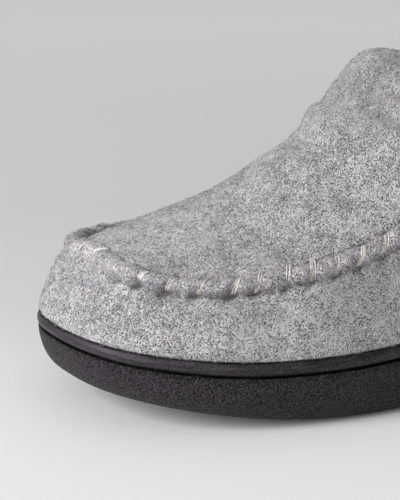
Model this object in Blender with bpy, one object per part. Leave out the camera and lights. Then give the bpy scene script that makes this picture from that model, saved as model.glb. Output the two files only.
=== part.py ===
"""Felt moccasin slipper for the left foot: moulded unit sole, insole and hollow felt upper.

Metres, +Z up. The toe points along -X and the heel along +X, and the outer side of the foot
is at -Y. The origin is on the floor, under the middle of the slipper's box.

Everything is worked out from one plan outline of the sole. Each of its two sides runs from
the toe tip to the heel tip. A "share" is a share of the sole's length in the tables of the
sole, and a share of one side's run in the tables of the upper.
"""

import bpy
import numpy as np

MM = 0.001


def table(columns, *rows):
    """A short table as named columns, with shares as they are and lengths in millimetres."""
    scales = [1.0 if name == "share" else MM for name in columns]
    return {
        name: np.array(values) * scale
        for name, scale, values in zip(columns, scales, zip(*rows))
    }


# Sole, in plan: half widths either side of the axis, and the rounding of toe and heel
LENGTH = 292 * MM
SOLE_PLAN = table(
    ("share", "outer", "inner"),
    (0.00, 52.5, 50.5),
    (0.20, 53.0, 52.5),
    (0.34, 54.5, 51.0),
    (0.47, 52.3, 47.0),
    (0.60, 46.0, 40.0),
    (0.73, 41.0, 37.3),
    (0.86, 39.0, 37.0),
    (1.00, 38.0, 36.0),
)
TOE_RUN = 91 * MM
TOE_POWER = 2.5
TOE_SWING = 6.7 * MM
HEEL_RUN = 46 * MM
HEEL_POWER = 2.3

# Sole, from the side: the lip's top edge over a flat tread, the width of the smooth band under
# it, and the tread's own rise
LIP_LINE = table(
    ("share", "height", "band"),
    (0.00, 14.2, 3.2),
    (0.03, 15.6, 3.4),
    (0.06, 16.9, 3.5),
    (0.10, 18.5, 3.7),
    (0.15, 20.2, 3.8),
    (0.20, 21.7, 3.8),
    (0.26, 23.2, 3.9),
    (0.33, 24.5, 3.9),
    (0.60, 28.5, 3.9),
    (0.85, 32.5, 3.9),
    (1.00, 33.5, 3.9),
)
TOE_SPRING = 14.6 * MM
SPRING_RUN = 88 * MM
SPRING_POWER = 1.9
ARCH_RISE = 1.6 * MM
ARCH_START = 152 * MM
ARCH_END = 214 * MM
HEEL_BEVEL = 3.0 * MM
HEEL_BEVEL_RUN = 24 * MM

# Sole, in section: lip, groove under the lip band, and the side that tucks in to the tread
LIP_WALL = 2.2 * MM
LIP_ROUND = 0.6 * MM
CUP_DEPTH = 5.0 * MM
GROOVE_WIDTH = 1.1 * MM
GROOVE_DEPTH = 1.2 * MM
SIDE_TUCK = table(
    ("share", "tuck"),
    (0.00, 15.0),
    (0.15, 14.0),
    (0.30, 13.0),
    (1.00, 13.0),
)
TUCK_FALL = 1.6
TUCK_TURN = 4.0
SIDE_STEPS = (0.0, 0.25, 0.5, 0.7, 0.83, 0.92, 0.97, 0.99, 1.0)
FLOOR_STEPS = 7

# Gap left between neighbouring pieces
GAP = 0.3 * MM

# Insole
INSOLE_THICK = 6.0 * MM
INSOLE_EDGE = 1.2 * MM

# Upper: felt wall, its top edge (the moccasin seam in front of the throat, the collar behind
# it) and the apron's rows, from the tip of the apron at the toe to its end at the throat
FELT = 3.0 * MM
FEATHER_INSET = LIP_WALL + GAP
THROAT = 0.515
TOP_EDGE = table(
    ("share", "inset", "height"),
    (0.000, 11.0, 51.8),
    (0.090, 7.6, 49.2),
    (0.180, 5.0, 46.9),
    (0.270, 6.4, 48.7),
    (0.360, 8.3, 54.2),
    (0.515, 10.0, 78.0),
    (0.640, 8.0, 68.5),
    (0.800, 6.0, 64.5),
    (1.000, 5.0, 73.5),
)
APRON_ROWS = table(
    ("share", "crown", "bow"),
    (0.00, 0.0, 0.0),
    (0.15, 4.0, 0.0),
    (0.30, 8.3, 0.0),
    (0.45, 12.4, 1.8),
    (0.60, 18.2, 7.9),
    (0.70, 23.8, 9.2),
    (0.78, 25.2, 16.2),
    (0.86, 26.5, 20.2),
    (0.93, 30.4, 22.0),
    (1.00, 24.9, 13.8),
)
APRON_ROUND = 2.0
WALL_FLUSH = 0.5 * MM
WALL_UP = 0.285
WALL_OUT = 0.025
SEAM_OUT = 0.08
SEAM_DOWN = 0.155
RIDGE_HEIGHT = 2.4 * MM
RIDGE_HALF = 3.6 * MM
RIDGE_FADE = 16 * MM

# Mesh steps: along each side in front of and behind the throat, up the wall, across the apron
FRONT_STEPS = 26
REAR_STEPS = 18
WALL_STEPS = 6
APRON_HALF_STEPS = 8
DENSE = 600
FINE = 48
MERGE = MM / 1000
SHARP_ANGLE = np.radians(40.0)

# Finishes: base colour and roughness
RUBBER_COLOUR = (0.025, 0.024, 0.026)
RUBBER_ROUGHNESS = 0.55
LINING_COLOUR = (0.20, 0.20, 0.21)
FELT_COLOUR = (0.36, 0.36, 0.375)
CLOTH_ROUGHNESS = 0.95

SHARES = np.concatenate(
    [
        np.linspace(0.0, THROAT, FRONT_STEPS + 1),
        np.linspace(THROAT, 1.0, REAR_STEPS + 1)[1:],
    ]
)
UP = np.array([0.0, 0.0, 1.0])
FORWARD = np.array([-1.0, 0.0, 0.0])


def smooth(rows, column, at, level_start=False):
    """Monotone cubic through a table's rows, level at its first row if asked."""
    places, values = rows["share"], rows[column]
    step = np.diff(places)
    secant = np.diff(values) / step
    slope = np.concatenate([secant[:1], np.zeros(len(step) - 1), secant[-1:]])
    if level_start:
        slope[0] = 0.0
    before, after = secant[:-1], secant[1:]
    rising = before * after > 0
    weight_before = 2 * step[1:] + step[:-1]
    weight_after = step[1:] + 2 * step[:-1]
    total = weight_before + weight_after
    mean = weight_before * after + weight_after * before
    slope[1:-1][rising] = (total * before * after)[rising] / mean[rising]
    at = np.asarray(at, float)
    k = np.clip(np.searchsorted(places, at) - 1, 0, len(step) - 1)
    t = np.clip((at - places[k]) / step[k], 0.0, 1.0)
    return (
        (1 + 2 * t) * (1 - t) ** 2 * values[k]
        + t * (1 - t) ** 2 * step[k] * slope[k]
        + t * t * (3 - 2 * t) * values[k + 1]
        + t * t * (t - 1) * step[k] * slope[k + 1]
    )


def end_rounding(distance, run, power):
    """Share of the full half width at a distance from a rounded end of the sole."""
    left = np.clip(1 - distance / run, 0.0, 1.0)
    return (1 - left**power) ** (1 / power)


def plan_side(column, sign):
    """Dense plan line of one side of the sole, toe tip to heel tip, before it is centred."""
    along = LENGTH * (1 - np.cos(np.linspace(0.0, np.pi, DENSE))) / 2
    half_width = smooth(SOLE_PLAN, column, along / LENGTH)
    half_width = half_width * end_rounding(along, TOE_RUN, TOE_POWER)
    half_width = half_width * end_rounding(LENGTH - along, HEEL_RUN, HEEL_POWER)
    swing = TOE_SWING * np.clip(1 - along / TOE_RUN, 0.0, 1.0) ** 2
    return np.column_stack([along - LENGTH / 2, swing + sign * half_width])


def run_along(line):
    """Distance from a line's first point to each of its points."""
    return np.concatenate([[0.0], np.cumsum(np.linalg.norm(np.diff(line, axis=0), axis=1))])


def at_distance(line, distance):
    """Points of a line at distances along it."""
    run = run_along(line)
    return np.column_stack([np.interp(distance, run, column) for column in line.T])


def side_outline(line, sign):
    """Points and outward directions of one side of the sole at SHARES of its run."""
    run = run_along(line)[-1]
    points = at_distance(line, SHARES * run)
    tangent = np.gradient(line, axis=0)
    outward = np.column_stack([tangent[:, 1], -tangent[:, 0]]) * -sign
    outward[0] = (-1.0, 0.0)
    outward[-1] = (1.0, 0.0)
    outward = outward / np.linalg.norm(outward, axis=1)[:, None]
    distance = run_along(line)
    at_shares = np.column_stack([np.interp(SHARES * run, distance, part) for part in outward.T])
    at_shares = at_shares / np.linalg.norm(at_shares, axis=1)[:, None]
    return points, at_shares


def sole_outline():
    """Both sides of the sole, outer then inner, centred across the slipper's box."""
    outer = plan_side("outer", -1)
    inner = plan_side("inner", 1)
    middle = (outer[:, 1].min() + inner[:, 1].max()) / 2
    shift = np.array([0.0, middle])
    return side_outline(outer - shift, -1), side_outline(inner - shift, 1)


def from_toe(x):
    """Distance from the toe tip, along the slipper."""
    return np.clip(x + LENGTH / 2, 0.0, LENGTH)


def toe_spring(x):
    """Lift of the front of the sole off the floor."""
    return TOE_SPRING * np.clip(1 - from_toe(x) / SPRING_RUN, 0.0, 1.0) ** SPRING_POWER


def lip_height(x):
    """Top edge of the sole's lip."""
    return smooth(LIP_LINE, "height", from_toe(x) / LENGTH) + toe_spring(x)


def cup_floor(x):
    """Floor of the sole's cup, on which the upper and the insole stand."""
    return lip_height(x) - CUP_DEPTH


def tread_height(x):
    """Underside of the sole: flat at forefoot and heel, lifted at toe, arch and heel edge."""
    along = from_toe(x)
    through_arch = np.clip((along - ARCH_START) / (ARCH_END - ARCH_START), 0.0, 1.0)
    arch = ARCH_RISE * np.sin(np.pi * through_arch) ** 2
    into_bevel = np.clip(1 - (LENGTH - along) / HEEL_BEVEL_RUN, 0.0, 1.0)
    return toe_spring(x) + arch + HEEL_BEVEL * into_bevel**2


def inset_points(outline, inset):
    """Plan points of a side, moved inwards by an inset."""
    points, outward = outline
    return points - outward * np.reshape(inset, (-1, 1))


def with_height(plan, height):
    """Plan points raised to a height."""
    return np.column_stack([plan, np.broadcast_to(height, len(plan))])


def across(left, right, steps, height_at):
    """Rows of points between two lines, with heights that follow x, without the two lines."""
    rows = []
    for share in np.linspace(0.0, 1.0, steps + 1)[1:-1]:
        plan = left[:, :2] * (1 - share) + right[:, :2] * share
        rows.append(with_height(plan, height_at(plan[:, 0])))
    return rows


def sole_side(outline):
    """Lines of one side of the sole, from the cup's floor over the lip and down to the tread."""
    x = outline[0][:, 0]
    lip = lip_height(x)
    band = smooth(LIP_LINE, "band", from_toe(x) / LENGTH)

    def at(inset, drop):
        return with_height(inset_points(outline, inset), lip - drop)

    floor_edge = inset_points(outline, LIP_WALL)
    lines = [
        with_height(floor_edge, cup_floor(floor_edge[:, 0])),
        at(LIP_WALL, 0.0),
        at(LIP_ROUND, 0.0),
        at(0.0, LIP_ROUND),
        at(0.0, band),
        at(GROOVE_DEPTH, band),
        at(GROOVE_DEPTH, band + GROOVE_WIDTH),
    ]
    tuck = smooth(SIDE_TUCK, "tuck", SHARES)
    tread = inset_points(outline, tuck)
    top = lip - band - GROOVE_WIDTH
    bottom = tread_height(tread[:, 0])
    for fall in SIDE_STEPS:
        turned = 1 - (1 - fall**TUCK_FALL) ** (1 / TUCK_TURN)
        lines.append(with_height(inset_points(outline, tuck * turned), top + (bottom - top) * fall))
    return lines


def insole_side(outline):
    """Lines of one side of the insole, from its underside up to the edge of its top."""
    edge = inset_points(outline, FEATHER_INSET + FELT + GAP)
    top_edge = inset_points(outline, FEATHER_INSET + FELT + GAP + INSOLE_EDGE)
    underside = cup_floor(edge[:, 0]) + GAP
    top = cup_floor(top_edge[:, 0]) + GAP + INSOLE_THICK
    return [
        with_height(edge, underside),
        with_height(edge, underside + INSOLE_THICK - INSOLE_EDGE),
        with_height(top_edge, top),
    ]


def wall_columns(outline):
    """One side of the upper's outer face, as columns from the sole's cup to the top edge.

    A column stands upright behind the lip and steps out over it, almost flush with the
    sole's side. From there a cubic curve rises and turns in to the top edge. The last steps
    are as wide as the seam's ridge.
    """
    foot = inset_points(outline, FEATHER_INSET)
    over_lip = lip_height(outline[0][:, 0]) + GAP
    inset = FEATHER_INSET + smooth(TOP_EDGE, "inset", SHARES, level_start=True)
    height = smooth(TOP_EDGE, "height", SHARES, level_start=True)
    edge = with_height(inset_points(outline, inset), height)
    base = with_height(foot, cup_floor(foot[:, 0]) + GAP)
    step = with_height(foot, over_lip)
    start = with_height(inset_points(outline, WALL_FLUSH), over_lip)
    outward = with_height(outline[1], 0.0)
    rise = (edge - start)[:, 2:]
    lean = start + rise * (WALL_UP * UP + WALL_OUT * outward)
    turn = edge + rise * (SEAM_OUT * outward - SEAM_DOWN * UP)
    t = np.linspace(0.0, 1.0, FINE)[:, None]
    columns = []
    for k in range(len(SHARES)):
        curve = (
            (1 - t) ** 3 * start[k]
            + 3 * t * (1 - t) ** 2 * lean[k]
            + 3 * t * t * (1 - t) * turn[k]
            + t**3 * edge[k]
        )
        run = run_along(curve)[-1]
        stops = np.linspace(0.0, run - RIDGE_HALF, WALL_STEPS + 1)
        stops = np.concatenate([stops, [run - RIDGE_HALF / 2, run]])
        columns.append(np.vstack([base[k], step[k], at_distance(curve, stops)]))
    return np.array(columns)


def apron_rows(outer_seam, inner_seam):
    """The apron's outer face, as rows that arch from the outer seam over to the inner one."""
    place = np.linspace(0.0, 1.0, FRONT_STEPS + 1)
    crown = smooth(APRON_ROWS, "crown", place)
    bow = smooth(APRON_ROWS, "bow", place)
    w = np.linspace(0.0, 1.0, 2 * FINE + 1)[:, None]
    arch = 1 - np.abs(2 * w - 1) ** APRON_ROUND
    rows = []
    for k in range(FRONT_STEPS + 1):
        chord = outer_seam[k] * (1 - w) + inner_seam[k] * w
        curve = chord + arch * (crown[k] * UP + bow[k] * FORWARD)
        run = run_along(curve)[-1]
        even = run / 2 / APRON_HALF_STEPS
        first = min(RIDGE_HALF / 2, even)
        second = min(RIDGE_HALF, 2 * even)
        half = np.linspace(second, run / 2, APRON_HALF_STEPS - 1)
        half = np.concatenate([[0.0, first], half])
        rows.append(at_distance(curve, np.concatenate([half, run - half[-2::-1]])))
    return np.array(rows)


def grid_faces(grid, first, flip=False):
    """Four-sided faces of a grid of points whose first point has the given number."""
    rows, columns = grid.shape[:2]
    number = first + np.arange(rows * columns).reshape(rows, columns)
    corners = [number[:-1, :-1], number[1:, :-1], number[1:, 1:], number[:-1, 1:]]
    if flip:
        corners.reverse()
    return np.stack(corners, axis=-1).reshape(-1, 4)


def merged(points, faces):
    """Points that coincide made one, and the faces without their doubled corners."""
    _, first, number = np.unique(
        np.round(points / MERGE), axis=0, return_index=True, return_inverse=True
    )
    number = number.reshape(-1)
    kept = []
    for face in faces:
        corners = list(dict.fromkeys(int(number[k]) for k in face))
        if len(corners) > 2:
            kept.append(corners)
    return points[first], kept


def vertex_normals(points, faces):
    """Outward direction at each point, from the faces round it by their area."""
    total = np.zeros_like(points)
    for face in faces:
        corners = points[face]
        across_face = corners[2] - corners[0]
        if len(face) == 4:
            normal = np.cross(across_face, corners[3] - corners[1])
        else:
            normal = np.cross(corners[1] - corners[0], across_face)
        total[face] += normal
    return total / np.linalg.norm(total, axis=1)[:, None]


def open_edges(faces):
    """Edges that only one face has, in the direction of that face."""
    edges = {}
    for face in faces:
        for start, end in zip(face, face[1:] + face[:1]):
            if (end, start) in edges:
                del edges[(end, start)]
            else:
                edges[(start, end)] = True
    return list(edges)


def raised_seam(points, outward, seam):
    """Move of each point that raises the seam into a rounded ridge.

    It falls off with the distance to the seam line, and turns from the seam's own outward
    direction on the line to the surface's own at the foot of the ridge. Towards the seam's
    two ends at the throat the ridge sinks into the wall.
    """
    on_seam = [np.argmin(np.linalg.norm(points - place, axis=1)) for place in seam]
    seam_outward = outward[on_seam]
    run = run_along(seam)
    fade = np.clip(np.minimum(run, run[-1] - run) / RIDGE_FADE, 0.0, 1.0)
    reach = np.full(len(points), np.inf)
    lead = np.zeros_like(points)
    height = np.zeros((len(points), 1))
    for k in range(len(seam) - 1):
        line = seam[k + 1] - seam[k]
        t = np.clip((points - seam[k]) @ line / (line @ line), 0.0, 1.0)[:, None]
        distance = np.linalg.norm(points - seam[k] - t * line, axis=1)
        nearer = distance < reach
        reach[nearer] = distance[nearer]
        lead[nearer] = (seam_outward[k] * (1 - t) + seam_outward[k + 1] * t)[nearer]
        height[nearer] = RIDGE_HEIGHT * (fade[k] * (1 - t) + fade[k + 1] * t)[nearer]
    off = np.clip(reach / RIDGE_HALF, 0.0, 1.0)[:, None]
    direction = lead * (1 - off) + outward * off
    direction = direction / np.linalg.norm(direction, axis=1)[:, None]
    return direction * height * np.cos(np.pi / 2 * off) ** 2


def add_object(name, points, faces, material):
    """A named mesh object with smooth faces and sharp steps."""
    mesh = bpy.data.meshes.new(name)
    mesh.from_pydata(points.tolist(), [], faces)
    mesh.validate()
    mesh.shade_smooth()
    mesh.set_sharp_from_angle(angle=SHARP_ANGLE)
    mesh.materials.append(material)
    body = bpy.data.objects.new(name, mesh)
    bpy.context.scene.collection.objects.link(body)
    return body


def add_loft(name, lines, material):
    """A closed body from lines that run from toe to heel and follow each other round it.

    At the toe tip and the heel tip the lines of the two sides meet and close the body.
    """
    ring = np.stack(lines + lines[:1], axis=1)
    points, faces = merged(ring.reshape(-1, 3), grid_faces(ring, 0))
    return add_object(name, points, faces, material)


def add_material(name, colour, roughness):
    """A plain finish: base colour and roughness."""
    material = bpy.data.materials.new(name)
    material.use_nodes = True
    shader = material.node_tree.nodes["Principled BSDF"]
    shader.inputs["Base Color"].default_value = (*colour, 1.0)
    shader.inputs["Roughness"].default_value = roughness
    shader.inputs["Metallic"].default_value = 0.0
    return material


def add_outsole(outer, inner):
    """Unit sole: cup floor, lip, groove, tucked side and tread."""
    outer_side = sole_side(outer)
    inner_side = sole_side(inner)
    tread = across(outer_side[-1], inner_side[-1], FLOOR_STEPS, tread_height)
    floor = across(inner_side[0], outer_side[0], FLOOR_STEPS, cup_floor)
    rubber = add_material("black_rubber", RUBBER_COLOUR, RUBBER_ROUGHNESS)
    lines = outer_side + tread + inner_side[::-1] + floor
    return add_loft("outsole", lines[::-1], rubber)


def add_insole(outer, inner):
    """Footbed with a softened top edge, lying in the sole's cup inside the upper."""
    outer_side = insole_side(outer)
    inner_side = insole_side(inner)
    top = across(
        outer_side[-1], inner_side[-1], FLOOR_STEPS,
        lambda x: cup_floor(x) + GAP + INSOLE_THICK,
    )
    underside = across(
        inner_side[0], outer_side[0], FLOOR_STEPS, lambda x: cup_floor(x) + GAP
    )
    lining = add_material("grey_lining", LINING_COLOUR, CLOTH_ROUGHNESS)
    lines = outer_side + top + inner_side[::-1] + underside
    return add_loft("insole", lines, lining)


def upper_faces(outer, inner):
    """Outer face of the upper without its ridge: points, faces, outward directions and seam line."""
    outer_wall = wall_columns(outer)
    inner_wall = wall_columns(inner)
    front = slice(0, FRONT_STEPS + 1)
    apron = apron_rows(outer_wall[front, -1], inner_wall[front, -1])
    sheets = (outer_wall, inner_wall, apron)
    faces, first = [], 0
    for sheet, flip in zip(sheets, (False, True, False)):
        faces.extend(grid_faces(sheet, first, flip))
        first += sheet.shape[0] * sheet.shape[1]
    points, faces = merged(np.concatenate([s.reshape(-1, 3) for s in sheets]), faces)
    seam = np.concatenate([outer_wall[front, -1][::-1], inner_wall[front, -1][1:]])
    return points, faces, vertex_normals(points, faces), seam


def add_upper(outer, inner):
    """Felt upper: side walls, apron and raised seam outside, and a smooth face inside."""
    points, faces, outward, seam = upper_faces(outer, inner)
    outside = points + raised_seam(points, outward, seam)
    inside = points - outward * FELT
    count = len(points)
    shell = list(faces)
    shell += [[k + count for k in reversed(face)] for face in faces]
    shell += [[end, start, start + count, end + count] for start, end in open_edges(faces)]
    felt = add_material("grey_felt", FELT_COLOUR, CLOTH_ROUGHNESS)
    return add_object("upper", np.concatenate([outside, inside]), shell, felt)


def main():
    for old in list(bpy.data.objects):
        bpy.data.objects.remove(old, do_unlink=True)
    outer, inner = sole_outline()
    add_outsole(outer, inner)
    add_insole(outer, inner)
    add_upper(outer, inner)


main()
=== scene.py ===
"""Felt moccasin slipper for the left foot, dressed for a studio picture.

Laid out as an add-on, with one operator for each piece and one for the stage. Lengths are in
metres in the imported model's frame: the toe points along -X, the outer side of the foot is at
-Y, +Z is up, and the origin is on the floor under the middle of the slipper.

Every form is worked out from one plan outline of the sole. A "share" is a share of the sole's
length in SOLE_PLAN and LIP_LINE, of one side's run in SIDE_TUCK and TOP_EDGE, of the way from
the apron's tip to the throat in APRON_ROWS, and of the seam's run in SEAM_SHAPE.
"""

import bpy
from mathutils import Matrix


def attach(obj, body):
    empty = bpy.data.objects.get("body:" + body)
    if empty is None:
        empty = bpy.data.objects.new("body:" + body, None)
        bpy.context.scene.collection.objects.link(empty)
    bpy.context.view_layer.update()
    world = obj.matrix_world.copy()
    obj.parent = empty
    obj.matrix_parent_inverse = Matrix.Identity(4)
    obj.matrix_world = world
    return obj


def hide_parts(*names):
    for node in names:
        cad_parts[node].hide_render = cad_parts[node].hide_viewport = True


bl_info = {
    "name": "Felt Moccasin Slipper",
    "version": (1, 0, 0),
    "blender": (4, 5, 0),
    "location": "View3D > Sidebar > Slipper",
    "description": "Makes a felt moccasin slipper with a moulded sole and its studio stage",
    "category": "Object",
}

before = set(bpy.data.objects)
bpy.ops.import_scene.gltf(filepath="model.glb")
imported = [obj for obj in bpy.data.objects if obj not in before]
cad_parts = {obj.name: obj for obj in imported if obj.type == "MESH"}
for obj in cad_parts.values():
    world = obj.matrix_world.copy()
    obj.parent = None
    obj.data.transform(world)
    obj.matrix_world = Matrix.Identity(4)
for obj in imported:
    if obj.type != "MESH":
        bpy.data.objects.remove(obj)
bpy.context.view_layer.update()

from math import radians

import bpy
import numpy as np
from bpy.props import FloatProperty, FloatVectorProperty, IntProperty, PointerProperty
from mathutils import Quaternion, Vector

BODY = "root"
MM = 0.001


def table(columns, *rows, scale=MM):
    """A short table as named columns: shares as they are, and the rest in a scale."""
    scales = [1.0 if name == "share" else scale for name in columns]
    return {
        name: np.array(values) * factor
        for name, factor, values in zip(columns, scales, zip(*rows))
    }


# Sole, in plan: half widths either side of the axis, and the rounding of toe and heel
LENGTH = 292 * MM
SOLE_PLAN = table(
    ("share", "outer", "inner"),
    (0.00, 52.5, 50.5),
    (0.20, 53.0, 52.5),
    (0.34, 54.5, 51.0),
    (0.47, 52.3, 47.0),
    (0.60, 46.0, 40.0),
    (0.73, 41.0, 37.3),
    (0.86, 39.0, 37.0),
    (1.00, 38.0, 36.0),
)
TOE_RUN, TOE_POWER, TOE_SWING = 91 * MM, 2.5, 6.7 * MM
HEEL_RUN, HEEL_POWER = 46 * MM, 2.3

# Sole, from the side
LIP_LINE = table(
    ("share", "height", "band"),
    (0.00, 14.2, 3.2),
    (0.03, 15.5, 3.4),
    (0.06, 16.9, 3.5),
    (0.10, 18.5, 3.7),
    (0.15, 20.2, 3.8),
    (0.20, 21.7, 3.8),
    (0.26, 23.2, 3.9),
    (0.33, 24.5, 3.9),
    (0.60, 28.5, 3.9),
    (0.85, 32.5, 3.9),
    (1.00, 33.5, 3.9),
)
TOE_SPRING, SPRING_RUN, SPRING_POWER = 14.6 * MM, 88 * MM, 1.9
ARCH_RISE, ARCH_START, ARCH_END = 1.6 * MM, 152 * MM, 214 * MM
HEEL_BEVEL, HEEL_BEVEL_RUN = 3.0 * MM, 24 * MM

# Sole, in section
LIP_WALL, LIP_ROUND, CUP_DEPTH = 2.2 * MM, 0.6 * MM, 5.0 * MM
GROOVE_WIDTH, GROOVE_DEPTH, GROOVE_ROUND = 1.1 * MM, 1.9 * MM, 0.18 * MM
SIDE_TUCK = table(("share", "tuck"), (0.0, 15.0), (0.15, 14.0), (0.3, 13.0), (1.0, 13.0))
TUCK_FALL, TUCK_TURN = 1.6, 4.0
GAP = 0.3 * MM

# Insole
INSOLE_THICK, INSOLE_EDGE = 6.0 * MM, 1.6 * MM

# Upper: wall thickness, top edge of the wall, and the apron's rows from its tip to the throat
FELT, LINING = 2.1 * MM, 0.8 * MM
WALL_THICK = 3.0 * MM
FEATHER_INSET = LIP_WALL + GAP
FOOT_ROUND = 1.0 * MM
THROAT = 0.515
TOP_EDGE = table(
    ("share", "inset", "height"),
    (0.000, 11.0, 51.8),
    (0.090, 7.6, 49.2),
    (0.180, 5.0, 46.9),
    (0.270, 6.4, 48.7),
    (0.360, 8.3, 54.2),
    (0.515, 10.0, 78.0),
    (0.640, 8.0, 68.5),
    (0.800, 6.0, 64.5),
    (1.000, 5.0, 73.5),
)
APRON_ROWS = table(
    ("share", "crown", "bow"),
    (0.00, 0.0, 0.0),
    (0.15, 4.0, 0.0),
    (0.30, 8.3, 0.0),
    (0.45, 12.4, 1.8),
    (0.60, 18.2, 7.9),
    (0.70, 23.8, 9.2),
    (0.78, 25.2, 16.2),
    (0.86, 26.5, 20.2),
    (0.93, 30.4, 22.0),
    (1.00, 24.9, 13.8),
)

# The apron's arch and the draw of its steps, the wall's curve at its two ends, in shares of its
# rise, and the ridge over the seam
APRON_ROUND, APRON_DRAW = 2.0, 0.7
WALL_FLUSH, WALL_UP, WALL_OUT = 0.5 * MM, 0.285, 0.025
SEAM_OUT, SEAM_DOWN = 0.08, 0.155
RIDGE_HALF, RIDGE_FADE, RIDGE_SHIFT = 3.4 * MM, 16 * MM, 1.3 * MM
STEEPEST_FALL = 0.9

# The seam along its run, from its outer end round the toe to its inner end: shares of the
# ridge's height, of the folds at its two feet and of a broad valley beside it on the apron, both
# with shade painted into them, then the stitches' slant, and how far they reach over the wall and
# the apron in mm
SEAM_LENGTH = 332.3 * MM
SEAM_SHAPE = table(
    ("share", "height", "wall", "apron", "valley", "slant", "wall_reach", "apron_reach"),
    (0.000, 1.00, 1.0, 0.8, 0.0, 0.85, 2.2, 2.6),
    (0.177, 1.00, 1.0, 1.0, 0.0, 0.80, 2.7, 2.8),
    (0.204, 1.00, 1.0, 1.0, 0.0, 0.75, 3.2, 2.4),
    (0.232, 1.00, 1.0, 0.8, 0.0, 0.60, 3.1, 2.8),
    (0.258, 1.00, 1.0, 0.5, 0.0, 0.50, 2.9, 4.6),
    (0.283, 1.00, 1.0, 0.35, 0.0, 0.50, 2.0, 4.6),
    (0.312, 1.00, 1.0, 0.4, 0.0, 0.60, 3.4, 3.7),
    (0.338, 1.00, 1.0, 0.4, 0.0, 0.70, 2.7, 2.9),
    (0.367, 1.00, 1.0, 0.5, 0.0, 0.80, 2.9, 2.8),
    (0.397, 0.95, 1.0, 0.6, 0.0, 0.60, 2.7, 2.2),
    (0.426, 0.85, 1.0, 0.6, 0.0, 0.60, 1.9, 3.0),
    (0.459, 0.60, 0.4, 0.3, 0.0, 0.00, 2.4, 1.8),
    (0.492, 0.40, 0.2, 0.2, 0.0, 0.80, 2.6, 2.0),
    (0.520, 0.35, 0.1, 0.3, 0.3, 1.10, 2.6, 1.8),
    (0.560, 0.60, 0.1, 0.5, 0.4, 0.00, 2.6, 3.0),
    (0.600, 0.78, 0.3, 0.6, 0.8, 0.10, 3.0, 3.2),
    (0.640, 0.70, 0.6, 0.8, 0.9, 0.20, 3.2, 3.4),
    (0.670, 0.42, 0.6, 0.6, 0.7, 0.30, 3.4, 3.4),
    (0.700, 0.15, 0.4, 0.3, 0.3, 0.30, 3.4, 3.4),
    (0.760, 0.20, 0.4, 0.3, 0.0, 0.40, 3.4, 3.4),
    (0.800, 0.90, 0.8, 0.7, 0.0, 0.40, 3.4, 3.4),
    (1.000, 0.90, 0.9, 0.7, 0.0, 0.50, 3.5, 3.4),
    scale=1.0,
)

# The ridge's two sides, the wall's and the apron's: its half width and what a stitch draws in of
# it, two powers of the roll's profile, the width of the fold at its foot and the fold's depth,
# smooth and rough, and the place and depth of the thread's holes. The depths of folds and holes
# also set the shade painted into them.
RIDGE_SIDES = {
    "width": (1.0, 0.95),
    "drawn_in": (0.16, 0.12),
    "round": (2.6, 2.0),
    "slope": (0.8, 1.3),
    "foot": (0.9 * MM, 0.5 * MM),
    "fold_and_painted_shade": (0.5, 0.7),
    "rough_fold": (0.25, 0.3),
    "hole_place": (3.8 * MM, 3.0 * MM),
    "hole": (0.9, 0.4),
}
HOLE_WIDTH = 1.5 * MM

# The roll's height and what stitches and roughness change of it, the valley beside it, the shade
# painted on the far ridge's face, and the strips under the stitches and with hair
ROLL, ROLL_DRAWN_DOWN, ROLL_ROUGH, ROLL_ROUGH_WIDTH = 1.08, 0.28, 0.12, 0.07
VALLEY_PLACE, VALLEY_WIDTH = 5.0 * MM, 2.2 * MM
FACE_PLACE, FACE_WIDTH, FACE_SHADE, FACE_ROUGH = 2.4 * MM, 2.2 * MM, 0.42, 0.15
SEWN_PLACE, SEWN_HALF, HAIR_WIDTH = 1.0 * MM, 4.5 * MM, 3.0 * MM

# Bareness of folds and of what lies under stitches, and the bareness from which no fibre grows
BARE_FOLD, BARE_SEWN, BARE_FROM = 1.1, 2.5, 0.55

# Whip stitches: distances along the seam from its outer end at the throat, a pitch apart at its
# two ends and one by one round the toe, then how hard each pulls, and the width of its pull
STITCH_PITCH = 9.3
STITCH_RUNS = MM * np.concatenate(
    [
        [12.5],
        21.5 + STITCH_PITCH * np.arange(5),
        [67.8, 77.0, 85.7, 94.0, 103.7, 111.3, 122.0, 131.6, 141.7, 152.6, 166.2, 173.8],
        [183.0, 194.0, 205.3, 215.5],
        224.5 + STITCH_PITCH * np.arange(11),
    ]
)
STITCH_PULLS = np.random.default_rng(17).normal(1.0, 0.2, len(STITCH_RUNS))
PULL_WIDTH, FAR_PULL = 1.7 * MM, 0.25
GATHER_REACH, GATHER_SLANT = 9.0 * MM, 0.4

# The far ridge, as runs along the seam: its start, where its stitches show and its hair's end
HIDDEN_FROM, HIDDEN_TO, HAIRY_TO = 178 * MM, 212 * MM, 245 * MM

# The wool is more even on the apron, towards the tongue and at the toe: the apron's height, the
# runs over which it changes, the toe's place, and how even each part is beside the wall's back
CALM_FROM, CALM_EDGE, CALM_RUN = 55 * MM, 6 * MM, 33 * MM
CALM_TOE, CALM_TOE_RUN = -72 * MM, 28 * MM
TOE_CALM, APRON_CALM, TONGUE_CALM, BACK_CALM = 1.65, 1.0, 0.9, -1.2

# Shortest and longest waves: roughness of the ridge, nap, dents, insole, and patches of fibres
ROUGH_WAVES, NAP_WAVES, DENT_WAVES = (3 * MM, 9 * MM), (4 * MM, 11 * MM), (14 * MM, 40 * MM)
INSOLE_WAVES, PATCH_WAVES = (5 * MM, 26 * MM), (3 * MM, 12 * MM)
RELIEF_RUN = 4 * MM
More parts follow.
